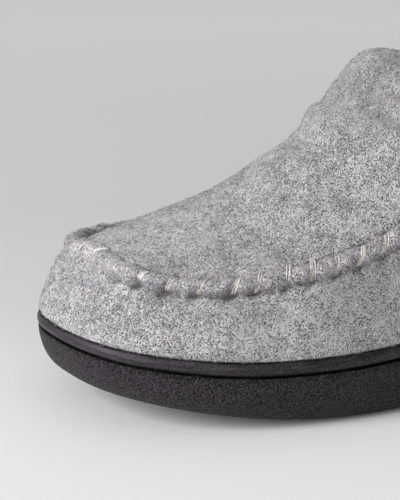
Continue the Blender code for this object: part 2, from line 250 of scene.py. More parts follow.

# Soft creases: a run of points on the felt in mm, the depth (below 0 for a swelling) and the
# half width
CREASES = (
    (((-41.0, 18.0, 87.0), (-45.0, 10.5, 90.0), (-50.0, -0.7, 89.0)), 1.1, 2.6),
    (((-44.5, 16.5, 85.5), (-49.0, 10.0, 85.5)), -0.7, 3.8),
    (((-49.0, 19.0, 79.5), (-53.5, 11.5, 80.5), (-58.0, 4.0, 79.0)), 1.1, 4.0),
    (
        ((-47.9, 5.4, 89.5), (-46.8, -4.1, 91.8), (-43.7, -11.2, 92.7), (-40.0, -17.4, 91.9)),
        0.5, 3.0,
    ),
    (
        ((-42.5, -13.3, 92.5), (-39.9, -17.4, 91.9), (-36.3, -22.5, 89.5), (-32.5, -28.0, 85.5)),
        1.5, 2.8,
    ),
    (((-45.0, -17.0, 87.5), (-41.8, -22.0, 85.5), (-37.5, -27.5, 82.5)), -0.8, 4.5),
    (((-50.0, -33.5, 68.0), (-45.5, -36.5, 66.5), (-38.0, -40.0, 66.5)), 0.7, 3.2),
    (((-131.5, 28.8, 45.7), (-136.5, 24.0, 42.5), (-139.0, 22.0, 40.0)), -1.1, 5.0),
    (((-108.0, -40.5, 42.5), (-108.0, -41.5, 30.5)), -0.8, 9.0),
    (((-60.0, -46.0, 46.5), (-30.0, -44.0, 54.5)), 0.4, 6.0),
)

# Broad paler and darker patches on the wool, painted light and painted shade: a point on the felt
# in mm, the reach, and the tone added in steps of 1/1000. In order: the apron's front, beside the
# throat, the instep, the tongue, the wall over the lip, the wall's front and the wall's back.
PAINTED_PATCHES = (
    ((-110.0, 8.0, 56.0), 20.0, 32.0),
    ((-54.0, -36.0, 61.0), 14.0, 13.0),
    ((-54.0, -17.0, 77.0), 10.0, -12.0),
    ((-40.0, -12.0, 96.0), 10.0, -22.0),
    ((-79.0, -48.0, 37.0), 12.0, 34.0),
    ((-130.0, -22.0, 39.0), 26.0, -13.0),
    ((-64.0, -45.0, 46.0), 22.0, 20.0),
)

# Points of a dense plan line, the distance within which points are one, what keeps a length
# or a sum of weights from being 0, and directions
DENSE = 600
WELD = MM / 1000
LEAST_LENGTH, LEAST_WEIGHT = 1e-12, 1e-30
UP = np.array([0.0, 0.0, 1.0])
FORWARD = np.array([-1.0, 0.0, 0.0])
SIGN = {"outer": -1, "inner": 1}


# Shapes shared by the pieces


def smooth(rows, column, at, level_start=False):
    """Monotone cubic through a table's rows, level at its first row if asked."""
    places, values = rows["share"], rows[column]
    step = np.diff(places)
    secant = np.diff(values) / step
    slope = np.concatenate([secant[:1], np.zeros(len(step) - 1), secant[-1:]])
    if level_start:
        slope[0] = 0.0
    before, after = secant[:-1], secant[1:]
    rising = before * after > 0
    weight_before = 2 * step[1:] + step[:-1]
    weight_after = step[1:] + 2 * step[:-1]
    mean = weight_before * after + weight_after * before
    total = (weight_before + weight_after) * before * after
    slope[1:-1][rising] = total[rising] / mean[rising]
    at = np.asarray(at, float)
    k = np.clip(np.searchsorted(places, at) - 1, 0, len(step) - 1)
    t = limited((at - places[k]) / step[k])
    return (
        (1 + 2 * t) * (1 - t) ** 2 * values[k]
        + t * (1 - t) ** 2 * step[k] * slope[k]
        + t * t * (3 - 2 * t) * values[k + 1]
        + t * t * (t - 1) * step[k] * slope[k + 1]
    )


def unit(vectors):
    """Vectors along the last axis, brought to length one."""
    return vectors / np.maximum(np.linalg.norm(vectors, axis=-1, keepdims=True), LEAST_LENGTH)


def limited(values):
    """Values kept between 0 and 1."""
    return np.clip(values, 0.0, 1.0)


def bell(distance, width):
    """1 at no distance, falling off on both sides as a bell of that width."""
    return np.exp(-((distance / width) ** 2))


def from_step(points, start, end):
    """Distance of points from a straight step, and the share of it where each is nearest."""
    step = end - start
    t = limited((points - start) @ step / (step @ step))
    return np.linalg.norm(points - start - t[:, None] * step, axis=1), t


def runs(lines):
    """Distance along each line from its first point: the running sum of its steps."""
    steps = np.linalg.norm(np.diff(lines, axis=-2), axis=-1)
    return np.concatenate([np.zeros_like(steps[..., :1]), np.cumsum(steps, axis=-1)], axis=-1)


def along_line(line, distances):
    """Points of one line at distances along it."""
    run = runs(line)
    return np.stack([np.interp(distances, run, column) for column in line.T], axis=-1)


def end_rounding(distance, run, power):
    """Superellipse: share of the half width at a distance from a rounded end of the sole."""
    left = limited(1 - distance / run)
    return (1 - left**power) ** (1 / power)


def plan_side(side):
    """Dense plan line of a side: half width times both end roundings, plus the toe's swing."""
    along = LENGTH * (1 - np.cos(np.linspace(0.0, np.pi, DENSE))) / 2
    half_width = smooth(SOLE_PLAN, side, along / LENGTH)
    half_width = half_width * end_rounding(along, TOE_RUN, TOE_POWER)
    half_width = half_width * end_rounding(LENGTH - along, HEEL_RUN, HEEL_POWER)
    swing = TOE_SWING * limited(1 - along / TOE_RUN) ** 2
    return np.column_stack([along - LENGTH / 2, swing + SIGN[side] * half_width])


PLAN = {side: plan_side(side) for side in SIGN}
MIDDLE = (PLAN["outer"][:, 1].min() + PLAN["inner"][:, 1].max()) / 2


def outline(side, shares):
    """Plan points of a side at shares of its run, and the directions square to it outwards."""
    line = PLAN[side] - (0.0, MIDDLE)
    tangent = np.gradient(line, axis=0)
    outward = np.column_stack([tangent[:, 1], -tangent[:, 0]]) * -SIGN[side]
    outward[0], outward[-1] = (-1.0, 0.0), (1.0, 0.0)
    outward = unit(outward)
    run = runs(line)
    at = np.asarray(shares) * run[-1]
    facing = np.stack([np.interp(at, run, column) for column in outward.T], axis=-1)
    return along_line(line, at), unit(facing)


def from_toe(x):
    """Distance from the toe tip, along the slipper."""
    return np.clip(x + LENGTH / 2, 0.0, LENGTH)


def toe_spring(x):
    """Lift of the front of the sole: a power of the way from the spring's run to the toe."""
    return TOE_SPRING * limited(1 - from_toe(x) / SPRING_RUN) ** SPRING_POWER


def lip_height(x):
    """Top edge of the sole's lip."""
    return smooth(LIP_LINE, "height", from_toe(x) / LENGTH) + toe_spring(x)


def cup_floor(x):
    """Floor of the sole's cup, on which the upper and the insole stand."""
    return lip_height(x) - CUP_DEPTH


def tread_height(x):
    """Underside of the sole: flat, with toe spring, a sine arch and a bevel under the heel."""
    along = from_toe(x)
    through_arch = limited((along - ARCH_START) / (ARCH_END - ARCH_START))
    arch = ARCH_RISE * np.sin(np.pi * through_arch) ** 2
    into_bevel = limited(1 - (LENGTH - along) / HEEL_BEVEL_RUN)
    return toe_spring(x) + arch + HEEL_BEVEL * into_bevel**2


def section(side, shares, inset, height):
    """Plan points moved inwards by insets and raised to heights, as a (share, step) grid."""
    points, outward = outline(side, shares)
    plan = points[:, None] - outward[:, None] * inset[..., None]
    return np.concatenate([plan, np.broadcast_to(height, inset.shape)[..., None]], axis=-1)


def between(left, right, steps, height_at):
    """Inner lines between two lines, straight in plan, with heights that follow x and y."""
    share = np.linspace(0.0, 1.0, steps + 1)[1:-1][None, :, None]
    plan = left[:, None, :2] * (1 - share) + right[:, None, :2] * share
    height = height_at(plan[..., 0], plan[..., 1], np.broadcast_to(share[..., 0], plan.shape[:2]))
    return np.concatenate([plan, height[..., None]], axis=-1)


def soft_waves(points, shortest, longest, seed, count=28):
    """Sum of plane waves with random directions, phases and lengths, about -1 to 1."""
    random = np.random.default_rng(seed)
    direction = unit(random.normal(size=(count, 3)))
    length = np.exp(random.uniform(np.log(shortest), np.log(longest), count))
    phase = random.uniform(0.0, 2 * np.pi, count)
    waves = np.sin(points @ (direction * (2 * np.pi / length)[:, None]).T + phase)
    return waves.sum(axis=-1) / np.sqrt(count)


# Meshes


def number_faces(number, flip=False):
    """Four-sided faces of a grid of vertex numbers."""
    corners = [number[:-1, :-1], number[1:, :-1], number[1:, 1:], number[:-1, 1:]]
    if flip:
        corners.reverse()
    return np.stack(corners, axis=-1).reshape(-1, 4)


def grid_faces(rows, columns, flip=False):
    """Four-sided faces of a grid of points, numbered row by row."""
    return number_faces(np.arange(rows * columns).reshape(rows, columns), flip)


def weld(points, quads):
    """Makes points that coincide one.

    Returns the first of each, the new number of every point, and the faces as four-sided and
    three-sided ones, since a side that closes to a point leaves a triangle.
    """
    keys = np.round(points / WELD).astype(np.int64)
    _, first, number = np.unique(keys, axis=0, return_index=True, return_inverse=True)
    number = number.reshape(-1)
    faces = number[quads]
    doubled = faces == np.roll(faces, -1, axis=1)
    squares = faces[~doubled.any(axis=1)]
    once = doubled.sum(axis=1) == 1
    triangles = faces[once][~doubled[once]].reshape(-1, 3)
    return first, number, squares, triangles


def outward_at(points, *face_sets):
    """Direction out of the surface at each point: the sum of its faces' areas, as vectors."""
    total = np.zeros_like(points)
    for faces in face_sets:
        corners = points[faces]
        area = np.cross(corners[:, 2] - corners[:, 0], corners[:, -1] - corners[:, 1])
        for column in faces.T:
            np.add.at(total, column, area)
    return unit(total)


def add_piece(name, points, face_sets, finish, marks=None):
    """A mesh object at the origin that rides on the slipper, with its finish and marks.

    Marks are numbers at the points, kept as attributes that a finish may read.
    """
    mesh = bpy.data.meshes.new(name)
    faces = [face for group in face_sets for face in group.tolist()]
    mesh.from_pydata(points.tolist(), [], faces)
    mesh.shade_smooth()
    mesh.materials.append(finish)
    for title, values in (marks or {}).items():
        attribute = mesh.attributes.new(title, "FLOAT", "POINT")
        attribute.data.foreach_set("value", values.astype(np.float32))
    if mesh.validate():
        raise RuntimeError(f"{name} has faces that had to be mended")
    mesh.update()
    piece = bpy.data.objects.new(name, mesh)
    bpy.context.scene.collection.objects.link(piece)
    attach(piece, BODY)
    return piece


def add_welded(name, points, quads, finish, marks=None):
    """A piece from four-sided faces, with points that coincide made one."""
    kept, _, squares, triangles = weld(points, quads)
    kept_marks = {title: values[kept] for title, values in (marks or {}).items()}
    return add_piece(name, points[kept], [squares, triangles], finish, kept_marks)


# Finishes


def node(tree, kind, inputs=None, **settings):
    """A shader node with settings, and inputs that are values or other nodes' sockets."""
    made = tree.nodes.new(kind)
    for name, value in settings.items():
        setattr(made, name, value)
    for key, value in (inputs or {}).items():
        if isinstance(value, bpy.types.NodeSocket):
            tree.links.new(value, made.inputs[key])
        else:
            made.inputs[key].default_value = value
    return made


def new_finish(name, **sockets):
    """A material with a Principled shader whose plain values sit on its own sockets."""
    finish = bpy.data.materials.new(name)
    finish.use_nodes = True
    shader = finish.node_tree.nodes["Principled BSDF"]
    for key, value in sockets.items():
        shader.inputs[key.replace("_", " ")].default_value = value
    return finish, finish.node_tree, shader


def math(tree, operation, first, second=0.0, third=0.0):
    """One sum, as a socket."""
    values = {0: first, 1: second, 2: third}
    return node(tree, "ShaderNodeMath", values, operation=operation).outputs[0]


def scaled(tree, value, factor, added=0.0):
    """A value times a factor, plus another, as a socket."""
    return math(tree, "MULTIPLY_ADD", value, factor, added)


def vectors(tree, operation, *values, out="Vector"):
    """One sum of vectors, as a socket."""
    inputs = dict(enumerate(values))
    return node(tree, "ShaderNodeVectorMath", inputs, operation=operation).outputs[out]


def own_places(tree):
    """The piece's own coordinates, as a socket."""
    return node(tree, "ShaderNodeTexCoord").outputs["Object"]


def mark(tree, name):
    """A mark at the piece's points, as a socket."""
    return node(tree, "ShaderNodeAttribute", attribute_name=name).outputs["Fac"]


def noise(tree, where, scale, detail=2.0, roughness=0.5, distortion=0.0):
    """Noise of a scale per metre, from 0 to 1."""
    inputs = {"Vector": where, "Scale": scale, "Detail": detail}
    inputs |= {"Roughness": roughness, "Distortion": distortion}
    return node(tree, "ShaderNodeTexNoise", inputs).outputs[0]


def layer(tree, where, scale, gain, base, **kind):
    """Noise times a gain, plus a base."""
    return scaled(tree, noise(tree, where, scale, **kind), gain, base)


def ramp(tree, factor, stops):
    """Colours mixed along a factor."""
    made = node(tree, "ShaderNodeValToRGB", {"Fac": factor})
    points = made.color_ramp.elements
    while len(points) < len(stops):
        points.new(0.5)
    for point, (place, colour) in zip(points, stops):
        point.position = place
        point.color = (*colour, 1.0)
    return made.outputs["Color"]


def shades(tree, factor, colour, stops):
    """One colour times a strength at each stop, mixed along a factor."""
    return ramp(tree, factor, [(place, [k * c for c in colour]) for place, k in stops])


def stretched(tree, where, turn, scale):
    """Coordinates turned and scaled, for a pattern that is longer one way."""
    inputs = {"Vector": where, "Rotation": turn, "Scale": scale}
    return node(tree, "ShaderNodeMapping", inputs).outputs["Vector"]


def dress(tree, shader, colour, height, distance, strength=0.8):
    """Links a colour to a shader, and a height to its normal as fine relief."""
    tree.links.new(colour, shader.inputs["Base Color"])
    relief = {"Height": height, "Strength": strength, "Distance": distance}
    bump = node(tree, "ShaderNodeBump", relief)
    tree.links.new(bump.outputs["Normal"], shader.inputs["Normal"])


# The wool's tone: the tone of even wool, the shade painted into a fold, the worth of a step of
# the patches of painted light and shade, how far streaks sway, the noise from which specks show,
# and the places of dark, mixed, grey and pale wool
EVEN_TONE, PAINTED_FOLD_SHADE, PAINTED_PATCH_STEP = 0.472, -0.075, 0.001
WOOL_SWAY, SPECKS_FROM = 6 * MM, 0.52
WOOL_STOPS = (0.425, 0.476, 0.511, 0.576)


def felt_finish(felt):
    """Heathered wool: streaks two ways and clumps over a soft mottle, with dark specks.

    The tone is the sum of layers of noise, each times its share. It is drawn to an even tone by
    the calm mark, darkened by the shade painted into the folds, and made paler or darker by
    patches of painted light and shade.
    """
    finish, tree, shader = new_finish(
        "heathered_felt", Roughness=0.95, Specular_IOR_Level=0.15, Sheen_Weight=felt.sheen,
        Sheen_Roughness=0.45,
    )
    where = own_places(tree)
    sway = node(tree, "ShaderNodeTexNoise", {"Vector": where, "Scale": 260.0, "Detail": 2.0})
    centred = vectors(tree, "SUBTRACT", sway.outputs["Color"], (0.5, 0.5, 0.5))
    swayed = vectors(tree, "MULTIPLY_ADD", centred, (WOOL_SWAY,) * 3, where)
    one_way = stretched(tree, swayed, turn=(0.4, 0.9, 0.3), scale=(1, 1, 0.38))
    other_way = stretched(tree, swayed, turn=(1.3, 0.2, 1.1), scale=(1, 0.4, 1))
    specks = math(tree, "SUBTRACT", noise(tree, where, scale=2300.0, detail=0.0), SPECKS_FROM)
    layers = (
        (noise(tree, one_way, scale=3000.0, roughness=0.6), 0.33),
        (noise(tree, other_way, scale=2600.0, roughness=0.6), 0.29),
        (noise(tree, where, scale=900.0, detail=3.0, roughness=0.7, distortion=0.4), 0.20),
        (noise(tree, where, scale=140.0, detail=3.0, roughness=0.7), 0.22),
        (math(tree, "MAXIMUM", specks), -0.75),
    )
    tone = 0.0
    for values, share in layers:
        tone = scaled(tree, values, share, tone)
    tone = scaled(tree, mark(tree, "calm"), math(tree, "SUBTRACT", EVEN_TONE, tone), tone)
    # Shade painted into the ridge's folds, holes and valley
    tone = scaled(tree, mark(tree, "fold_and_painted_shade"), PAINTED_FOLD_SHADE, tone)
    # Broad patches of painted light and painted shade
    tone = scaled(tree, mark(tree, "painted_patch"), PAINTED_PATCH_STEP, tone)
    mixed = [(a + b) / 2 for a, b in zip(felt.dark_wool, felt.grey_wool)]
    wools = (felt.dark_wool, mixed, felt.grey_wool, felt.pale_wool)
    colour = ramp(tree, tone, list(zip(WOOL_STOPS, wools)))
    dress(tree, shader, colour, tone, distance=1.4 * MM)
    return finish


# The rubber's shade: where light is painted on the toe and how much, the stretch of the band's
# streaks of painted highlight and their steps down it, and strengths of the colour along the
# shade
PAINTED_TOE_LIGHT = {"From Min": -105 * MM, "From Max": -146 * MM, "To Min": 0.30, "To Max": 0.62}
STREAK_STRETCH, STREAK_STEP = (0.09, 0.09, 0.0), 4 * MM
RUBBER_STOPS = ((0.0, 0.05), (0.25, 0.4), (0.5, 1.0), (0.85, 2.4))


def rubber_finish(sole):
    """Black moulded rubber: pebbled grain where the grain mark is 1, satin on the lip band.

    The shade is the sum of dust, light painted on the toe, the grain's pebbles and the band's
    lengthwise streaks of painted highlight, less ragged shade painted into the groove.
    """
    finish, tree, shader = new_finish("moulded_rubber", Specular_IOR_Level=0.24)
    where, grain = own_places(tree), mark(tree, "grain")
    cells = node(
        tree, "ShaderNodeTexVoronoi",
        {"Vector": where, "Scale": 1.0 / sole.grain_size, "Randomness": 1.0},
        feature="SMOOTH_F1",
    ).outputs["Distance"]
    fine = noise(tree, where, scale=2200.0, detail=0.0)
    pebbles = scaled(tree, fine, 1.2, added=scaled(tree, cells, -1.7, added=0.28))
    speck = math(tree, "MULTIPLY", scaled(tree, pebbles, 1.6, added=-0.08), grain)
    # Light painted on the toe, paler towards its tip
    along = node(tree, "ShaderNodeSeparateXYZ", {"Vector": where}).outputs["X"]
    toe = node(tree, "ShaderNodeMapRange", {"Value": along, **PAINTED_TOE_LIGHT}).outputs["Result"]
    dust = noise(tree, where, scale=160.0, detail=4.0, roughness=0.6)
    shade = math(tree, "ADD", scaled(tree, dust, 0.4, added=toe), speck)
    # Shade painted into the groove, broken by two noises
    ragged = layer(tree, where, scale=1300.0, gain=3.2, base=-0.7, detail=1.0)
    painted_shade_strength = layer(tree, where, scale=420.0, gain=2.4, base=-0.45, roughness=0.6)
    groove = math(tree, "MULTIPLY", mark(tree, "groove"), ragged)
    shade = math(tree, "SUBTRACT", shade, math(tree, "MULTIPLY", groove, painted_shade_strength))
    # Lengthwise streaks on the band, painted as highlights
    drop = math(tree, "MULTIPLY", mark(tree, "drop"), STREAK_STEP)
    level = node(tree, "ShaderNodeCombineXYZ", {"Z": drop}).outputs[0]
    lengthwise = vectors(tree, "MULTIPLY_ADD", where, STREAK_STRETCH, level)
    highlight_streaks = layer(tree, lengthwise, scale=900.0, gain=1.6, base=-0.87, detail=3.0, roughness=0.6)
    highlight_streaks = math(tree, "ADD", highlight_streaks, scaled(tree, fine, 1.2, added=-0.6))
    shade = scaled(tree, highlight_streaks, math(tree, "SUBTRACT", 1.0, grain), shade)
    gloss = scaled(tree, dust, 0.08, added=scaled(tree, grain, 0.10, added=0.40))
    tree.links.new(gloss, shader.inputs["Roughness"])
    colour = shades(tree, shade, sole.rubber, RUBBER_STOPS)
    strength = scaled(tree, grain, 0.95, added=0.05)
    dress(tree, shader, colour, pebbles, distance=0.9 * MM, strength=strength)
    return finish


# Strengths of the fleece's colour along its tone
FLEECE_STOPS = ((0.3, 0.5), (0.5, 1.0), (0.72, 1.4))


def fleece_finish(name, colour):
    """Short brushed fleece: small tufts with darker hollows between them."""
    finish, tree, shader = new_finish(
        name, Roughness=0.95, Specular_IOR_Level=0.1, Sheen_Weight=0.25, Sheen_Roughness=0.5
    )
    where = own_places(tree)
    tufts = noise(tree, where, scale=520.0, detail=3.0, roughness=0.65, distortion=0.6)
    fibres = noise(tree, where, scale=1800.0, roughness=0.6)
    tone = scaled(tree, fibres, 0.35, added=math(tree, "MULTIPLY", tufts, 0.65))
    dress(tree, shader, shades(tree, tone, colour, FLEECE_STOPS), tone, distance=1.2 * MM)
    return finish


def thread_finish(stitch):
    """Sewing thread whose plies run from cream to tan."""
    finish, tree, shader = new_finish(
        "beige_thread", Roughness=0.7, Specular_IOR_Level=0.3, Sheen_Weight=0.2
    )
    tone = noise(tree, own_places(tree), scale=900.0, detail=3.0, roughness=0.6)
    tone = scaled(tree, mark(tree, "shade"), 0.6, added=math(tree, "MULTIPLY", tone, 0.4))
    colour = ramp(tree, tone, ((0.25, stitch.tan), (0.65, stitch.cream)))
    tree.links.new(colour, shader.inputs["Base Color"])
    return finish


# Upper: surface, seam and relief


def wall(side, shares, t):
    """One side of the upper's outer face, as columns from the sole's cup to the top edge.

    A column stands upright behind the lip and steps out over it. From there a cubic Bezier
    curve rises, with its lower corner rounded off by a quarter circle, and turns in to the
    top edge.
    """
    points, facing = outline(side, shares)
    outward = np.column_stack([facing, np.zeros(len(facing))])
    over_lip = lip_height(points[:, 0]) + GAP

    def at(inset, height):
        """Points of the outline moved inwards and raised."""
        return np.column_stack([points - facing * np.reshape(inset, (-1, 1)), height])

    feather = at(FEATHER_INSET, over_lip)
    base = at(FEATHER_INSET, cup_floor(feather[:, 0]) + GAP)
    start = at(WALL_FLUSH, over_lip)
    inset = FEATHER_INSET + smooth(TOP_EDGE, "inset", shares, level_start=True)
    edge = at(inset, smooth(TOP_EDGE, "height", shares, level_start=True))
    rise = (edge - start)[:, 2:]
    lean = start + rise * (WALL_UP * UP + WALL_OUT * outward)
    turn = edge + rise * (SEAM_OUT * outward - SEAM_DOWN * UP)
    start, lean, turn, edge = (p[:, None] for p in (start, lean, turn, edge))
    t = t[None, :, None]
    curve = (
        (1 - t) ** 3 * start
        + 3 * t * (1 - t) ** 2 * lean
        + 3 * t * t * (1 - t) * turn
        + t**3 * edge
    )
    lack = limited(1 - (curve - start)[..., 2:] / FOOT_ROUND)
    curve = curve - outward[:, None] * FOOT_ROUND * (1 - np.sqrt(1 - lack**2))
    return np.concatenate([base[:, None], feather[:, None], curve], axis=1)


def apron(outer_seam, inner_seam, steps):
    """The apron's outer face, as rows from the outer seam over to the inner one.

    A row is the straight line between the two seams, raised by its crown and bowed forward,
    both times a parabola across the row. Steps are drawn together near the seams.
    """
    place = np.linspace(0.0, 1.0, len(outer_seam))
    crown = smooth(APRON_ROWS, "crown", place)[:, None, None]
    bow = smooth(APRON_ROWS, "bow", place)[:, None, None]
    even = np.linspace(0.0, 1.0, steps + 1)
    w = (even - APRON_DRAW * np.sin(2 * np.pi * even) / (2 * np.pi))[None, :, None]
    chord = outer_seam[:, None] * (1 - w) + inner_seam[:, None] * w
    arch = 1 - np.abs(2 * w - 1) ** APRON_ROUND
    return chord + arch * (crown * UP + bow * FORWARD)


class Upper:
    """The upper's smooth outer face at a chosen fineness, with its seam and its open edges."""

    # Steps up the wall: those at its foot for a fine and a plain face, the number from which a
    # face is fine, the rest's share of the curve and power, and how far below the seam its fall
    # is read
    FINE_FOOT, PLAIN_FOOT, FINE_FROM = (0.0, 0.004, 0.013, 0.027), (0.0, 0.02), 30
    CURVE_SHARE, CURVE_POWER, BELOW_SEAM = 0.955, 1.35, 7

    def __init__(self, front, rear, up, across):
        shares = np.concatenate(
            [np.linspace(0.0, THROAT, front + 1), np.linspace(THROAT, 1.0, rear + 1)[1:]]
        )
        foot = self.FINE_FOOT if up > self.FINE_FROM else self.PLAIN_FOOT
        rest = 1 - self.CURVE_SHARE * np.linspace(1.0, 0.0, up) ** self.CURVE_POWER
        t = np.concatenate([foot, rest])
        outer, inner = wall("outer", shares, t), wall("inner", shares, t)
        seam_part = slice(0, front + 1)
        top = apron(outer[seam_part, -1], inner[seam_part, -1], across)
        sheets = (outer, inner, top)
        numbers, quads, first = [], [], 0
        for sheet, flip in zip(sheets, (False, True, False)):
            rows, columns = sheet.shape[:2]
            numbers.append(first + np.arange(rows * columns).reshape(rows, columns))
            quads.append(number_faces(numbers[-1], flip))
            first += rows * columns
        flat = np.concatenate([sheet.reshape(-1, 3) for sheet in sheets])
        kept, number, self.squares, self.triangles = weld(flat, np.concatenate(quads))
        self.points = flat[kept]
        self.outward = outward_at(self.points, self.squares, self.triangles)
        self.part = np.repeat([-1.0, -1.0, 1.0], [grid.size for grid in numbers])[kept]
        outer, inner, top = (number[grid] for grid in numbers)

        def round_toe(column):
            """A line of the wall from the outer end of the seam round the toe to the inner."""
            return np.concatenate([outer[seam_part, column][::-1], inner[seam_part, column][1:]])

        def round_collar(line):
            """A line along the collar, round the heel and back over the apron's end."""
            walls = [outer[front:, line], inner[front:-1, line][::-1]]
            return np.concatenate([*walls, top[line, -2:0:-1]])

        self.seam = round_toe(-1)
        below = self.points[round_toe(-1 - self.BELOW_SEAM)]
        self.down_wall = unit(below - self.points[self.seam])
        self.collar, self.under_collar = round_collar(-1), round_collar(-2)
        self.base = np.concatenate([outer[:, 0], inner[1:-1, 0][::-1]])

    def shell(self, outside, inside, rim_steps):
        """Closed shell from an outside and an inside with the same faces.

        The collar is closed by a half round over the wall's thickness, the base by a flat
        strip.
        """
        count = len(self.points)
        high, low = outside[self.collar], inside[self.collar]
        up = unit(self.points[self.collar] - self.points[self.under_collar])
        turn = np.linspace(0.0, np.pi, rim_steps + 1)[1:-1][None, :, None]
        middle, half = ((high + low) / 2)[:, None], ((high - low) / 2)[:, None]
        radius = np.linalg.norm(half, axis=-1, keepdims=True)
        rim = middle + half * np.cos(turn) + up[:, None] * radius * np.sin(turn)
        points = np.concatenate([outside, inside, rim.reshape(-1, 3)])
        added = 2 * count + np.arange(rim.shape[0] * rim.shape[1]).reshape(rim.shape[:2])
        collar = np.column_stack([self.collar, added, self.collar + count])
        base = np.column_stack([self.base, self.base + count])
        rims = []
        for ring, flip in ((collar, True), (base, False)):
            rims.append(number_faces(np.vstack([ring, ring[:1]]), flip))
        squares = [self.squares, self.squares[:, ::-1] + count, *rims]
        return points, squares, [self.triangles, self.triangles[:, ::-1] + count]


class Seam:
    """The moccasin seam of an upper: its line, run, and the directions that go with it."""

    def __init__(self, upper):
        self.line = upper.points[upper.seam]
        self.run = runs(self.line)
        self.outward = upper.outward[upper.seam]
        self.tangent = unit(np.gradient(self.line, axis=0))
        down = upper.down_wall
        sunk = -(down * self.outward).sum(axis=1)
        across = -(down + sunk[:, None] * self.outward)
        across = across - self.tangent * (across * self.tangent).sum(axis=1, keepdims=True)
        self.across = unit(across)
        self.fall = np.clip(sunk, 0.0, STEEPEST_FALL)

    def at(self, values, run):
        """Values of the seam's points at distances along it."""
        return np.stack([np.interp(run, self.run, column) for column in values.T], axis=-1)

    def reach(self, points):
        """Distance of each point to the seam, the run where it is nearest, and its outward."""
        nearest = np.full(len(points), np.inf)
        run = np.zeros(len(points))
        for k in range(len(self.line) - 1):
            distance, t = from_step(points, self.line[k], self.line[k + 1])
            nearer = distance < nearest
            nearest[nearer] = distance[nearer]
            run[nearer] = (self.run[k] + t * (self.run[k + 1] - self.run[k]))[nearer]
        return nearest, run, unit(self.at(self.outward, run))

    def fade(self, run):
        """0 at the seam's two ends at the throat, 1 along the rest."""
        return limited(np.minimum(run, self.run[-1] - run) / RIDGE_FADE)


def along_seam(column, run):
    """A column of the seam's table at distances along it."""
    return smooth(SEAM_SHAPE, column, run / SEAM_LENGTH)


def stitch_pull(run, off):
    """1 under a whip stitch and 0 between: a sum of bells, slanted as the stitches are."""
    place = run + along_seam("slant", run) * off
    return bell(place[:, None] - STITCH_RUNS, PULL_WIDTH) @ STITCH_PULLS


def ridge_relief(off, run, fade, felt):
    """Height of the sewn ridge, the shade painted into its folds and how bare of fibres it is.

    A rounded roll just inside the line, lower and narrower under each stitch, between two
    folds at its feet, a soft one on the wall side (off below 0) and a sharp one on the apron
    side. The thread draws a hole into the felt at both ends of each stitch. Painted shade is 1
    in the folds, holes and valley, and less on the far ridge's face, where shade is painted too.
    Bareness is high in the folds and under the stitches, and below 0 where the far ridge is
    hairy.
    """
    pull = stitch_pull(run, off) * np.where(run < HIDDEN_FROM, 1.0, FAR_PULL)
    off = off - RIDGE_SHIFT
    side = {name: np.where(off < 0, *pair) for name, pair in RIDGE_SIDES.items()}
    places = np.stack([run, off, np.zeros_like(run)], axis=-1)
    rough = soft_waves(places, *ROUGH_WAVES, seed=12)
    half = RIDGE_HALF * (side["width"] - side["drawn_in"] * pull)
    half = half * (1 + ROLL_ROUGH_WIDTH * rough)
    roll = (1 - limited(np.abs(off) / half) ** side["round"]) ** side["slope"]
    height = felt.ridge_height * along_seam("height", run)
    height = height * (ROLL - ROLL_DRAWN_DOWN * pull + ROLL_ROUGH * rough) * roll
    foot = bell(np.abs(off) - half, side["foot"])
    hole = bell(np.abs(off) - side["hole_place"], HOLE_WIDTH)
    # Depth of the folds and holes, which is also the strength of the shade painted into them
    fold_and_painted_shade = (side["fold_and_painted_shade"] + side["rough_fold"] * rough) * foot + side["hole"] * pull * hole
    fold_and_painted_shade = fold_and_painted_shade * np.where(off < 0, along_seam("wall", run), along_seam("apron", run))
    valley = along_seam("valley", run)
    fold_and_painted_shade = fade * limited(fold_and_painted_shade + valley * bell(off - VALLEY_PLACE, VALLEY_WIDTH))
    # Shade painted on the far ridge's face, standing in for the shade of its valley
    face = (FACE_SHADE + FACE_ROUGH * rough) * bell(off - FACE_PLACE, FACE_WIDTH)
    sewn = pull * (np.abs(off - SEWN_PLACE) < SEWN_HALF) * (run < HIDDEN_FROM)
    hairy = bell(off, HAIR_WIDTH) * (run > HIDDEN_FROM) * (run < HAIRY_TO)
    move = fade * height - felt.fold_depth * fold_and_painted_shade
    bare = np.maximum(BARE_FOLD * fold_and_painted_shade, BARE_SEWN * sewn) - hairy
    return move, limited(np.maximum(fold_and_painted_shade, valley * face)), bare


def gathers(off, run):
    """Soft pleats that run out of the stitches into the wall and die away."""
    return (0.5 - stitch_pull(run, GATHER_SLANT * off)) * bell(off, GATHER_REACH)


def crease_relief(points):
    """Depth of the creases: bells across each run of points."""
    depth = np.zeros(len(points))
    for line, deep, half in CREASES:
        line = np.array(line) * MM
        apart = [from_step(points, *ends)[0] for ends in zip(line[:-1], line[1:])]
        depth += deep * MM * bell(np.min(apart, axis=0), half * MM)
    return depth


def painted_patch_tone(points):
    """Tone of painted light and shade added to the wool in broad patches: a sum of bells."""
    centre, reach, tone = (np.array(column) for column in zip(*PAINTED_PATCHES))
    apart = np.linalg.norm(points[:, None] - centre * MM, axis=2)
    return bell(apart, reach * MM) @ tone


def wool_calm(points):
    """How even the wool's tone is: below 0 on the wall's back, over 0 at the toe and tongue."""
    x, _, z = points.T
    on_apron = limited((z - CALM_FROM) / CALM_EDGE)
    tongue = limited((z - CALM_FROM) / CALM_RUN)
    toe = limited((CALM_TOE - x) / CALM_TOE_RUN) * (1 - on_apron)
    return TOE_CALM * toe + APRON_CALM * on_apron + TONGUE_CALM * tongue + BACK_CALM


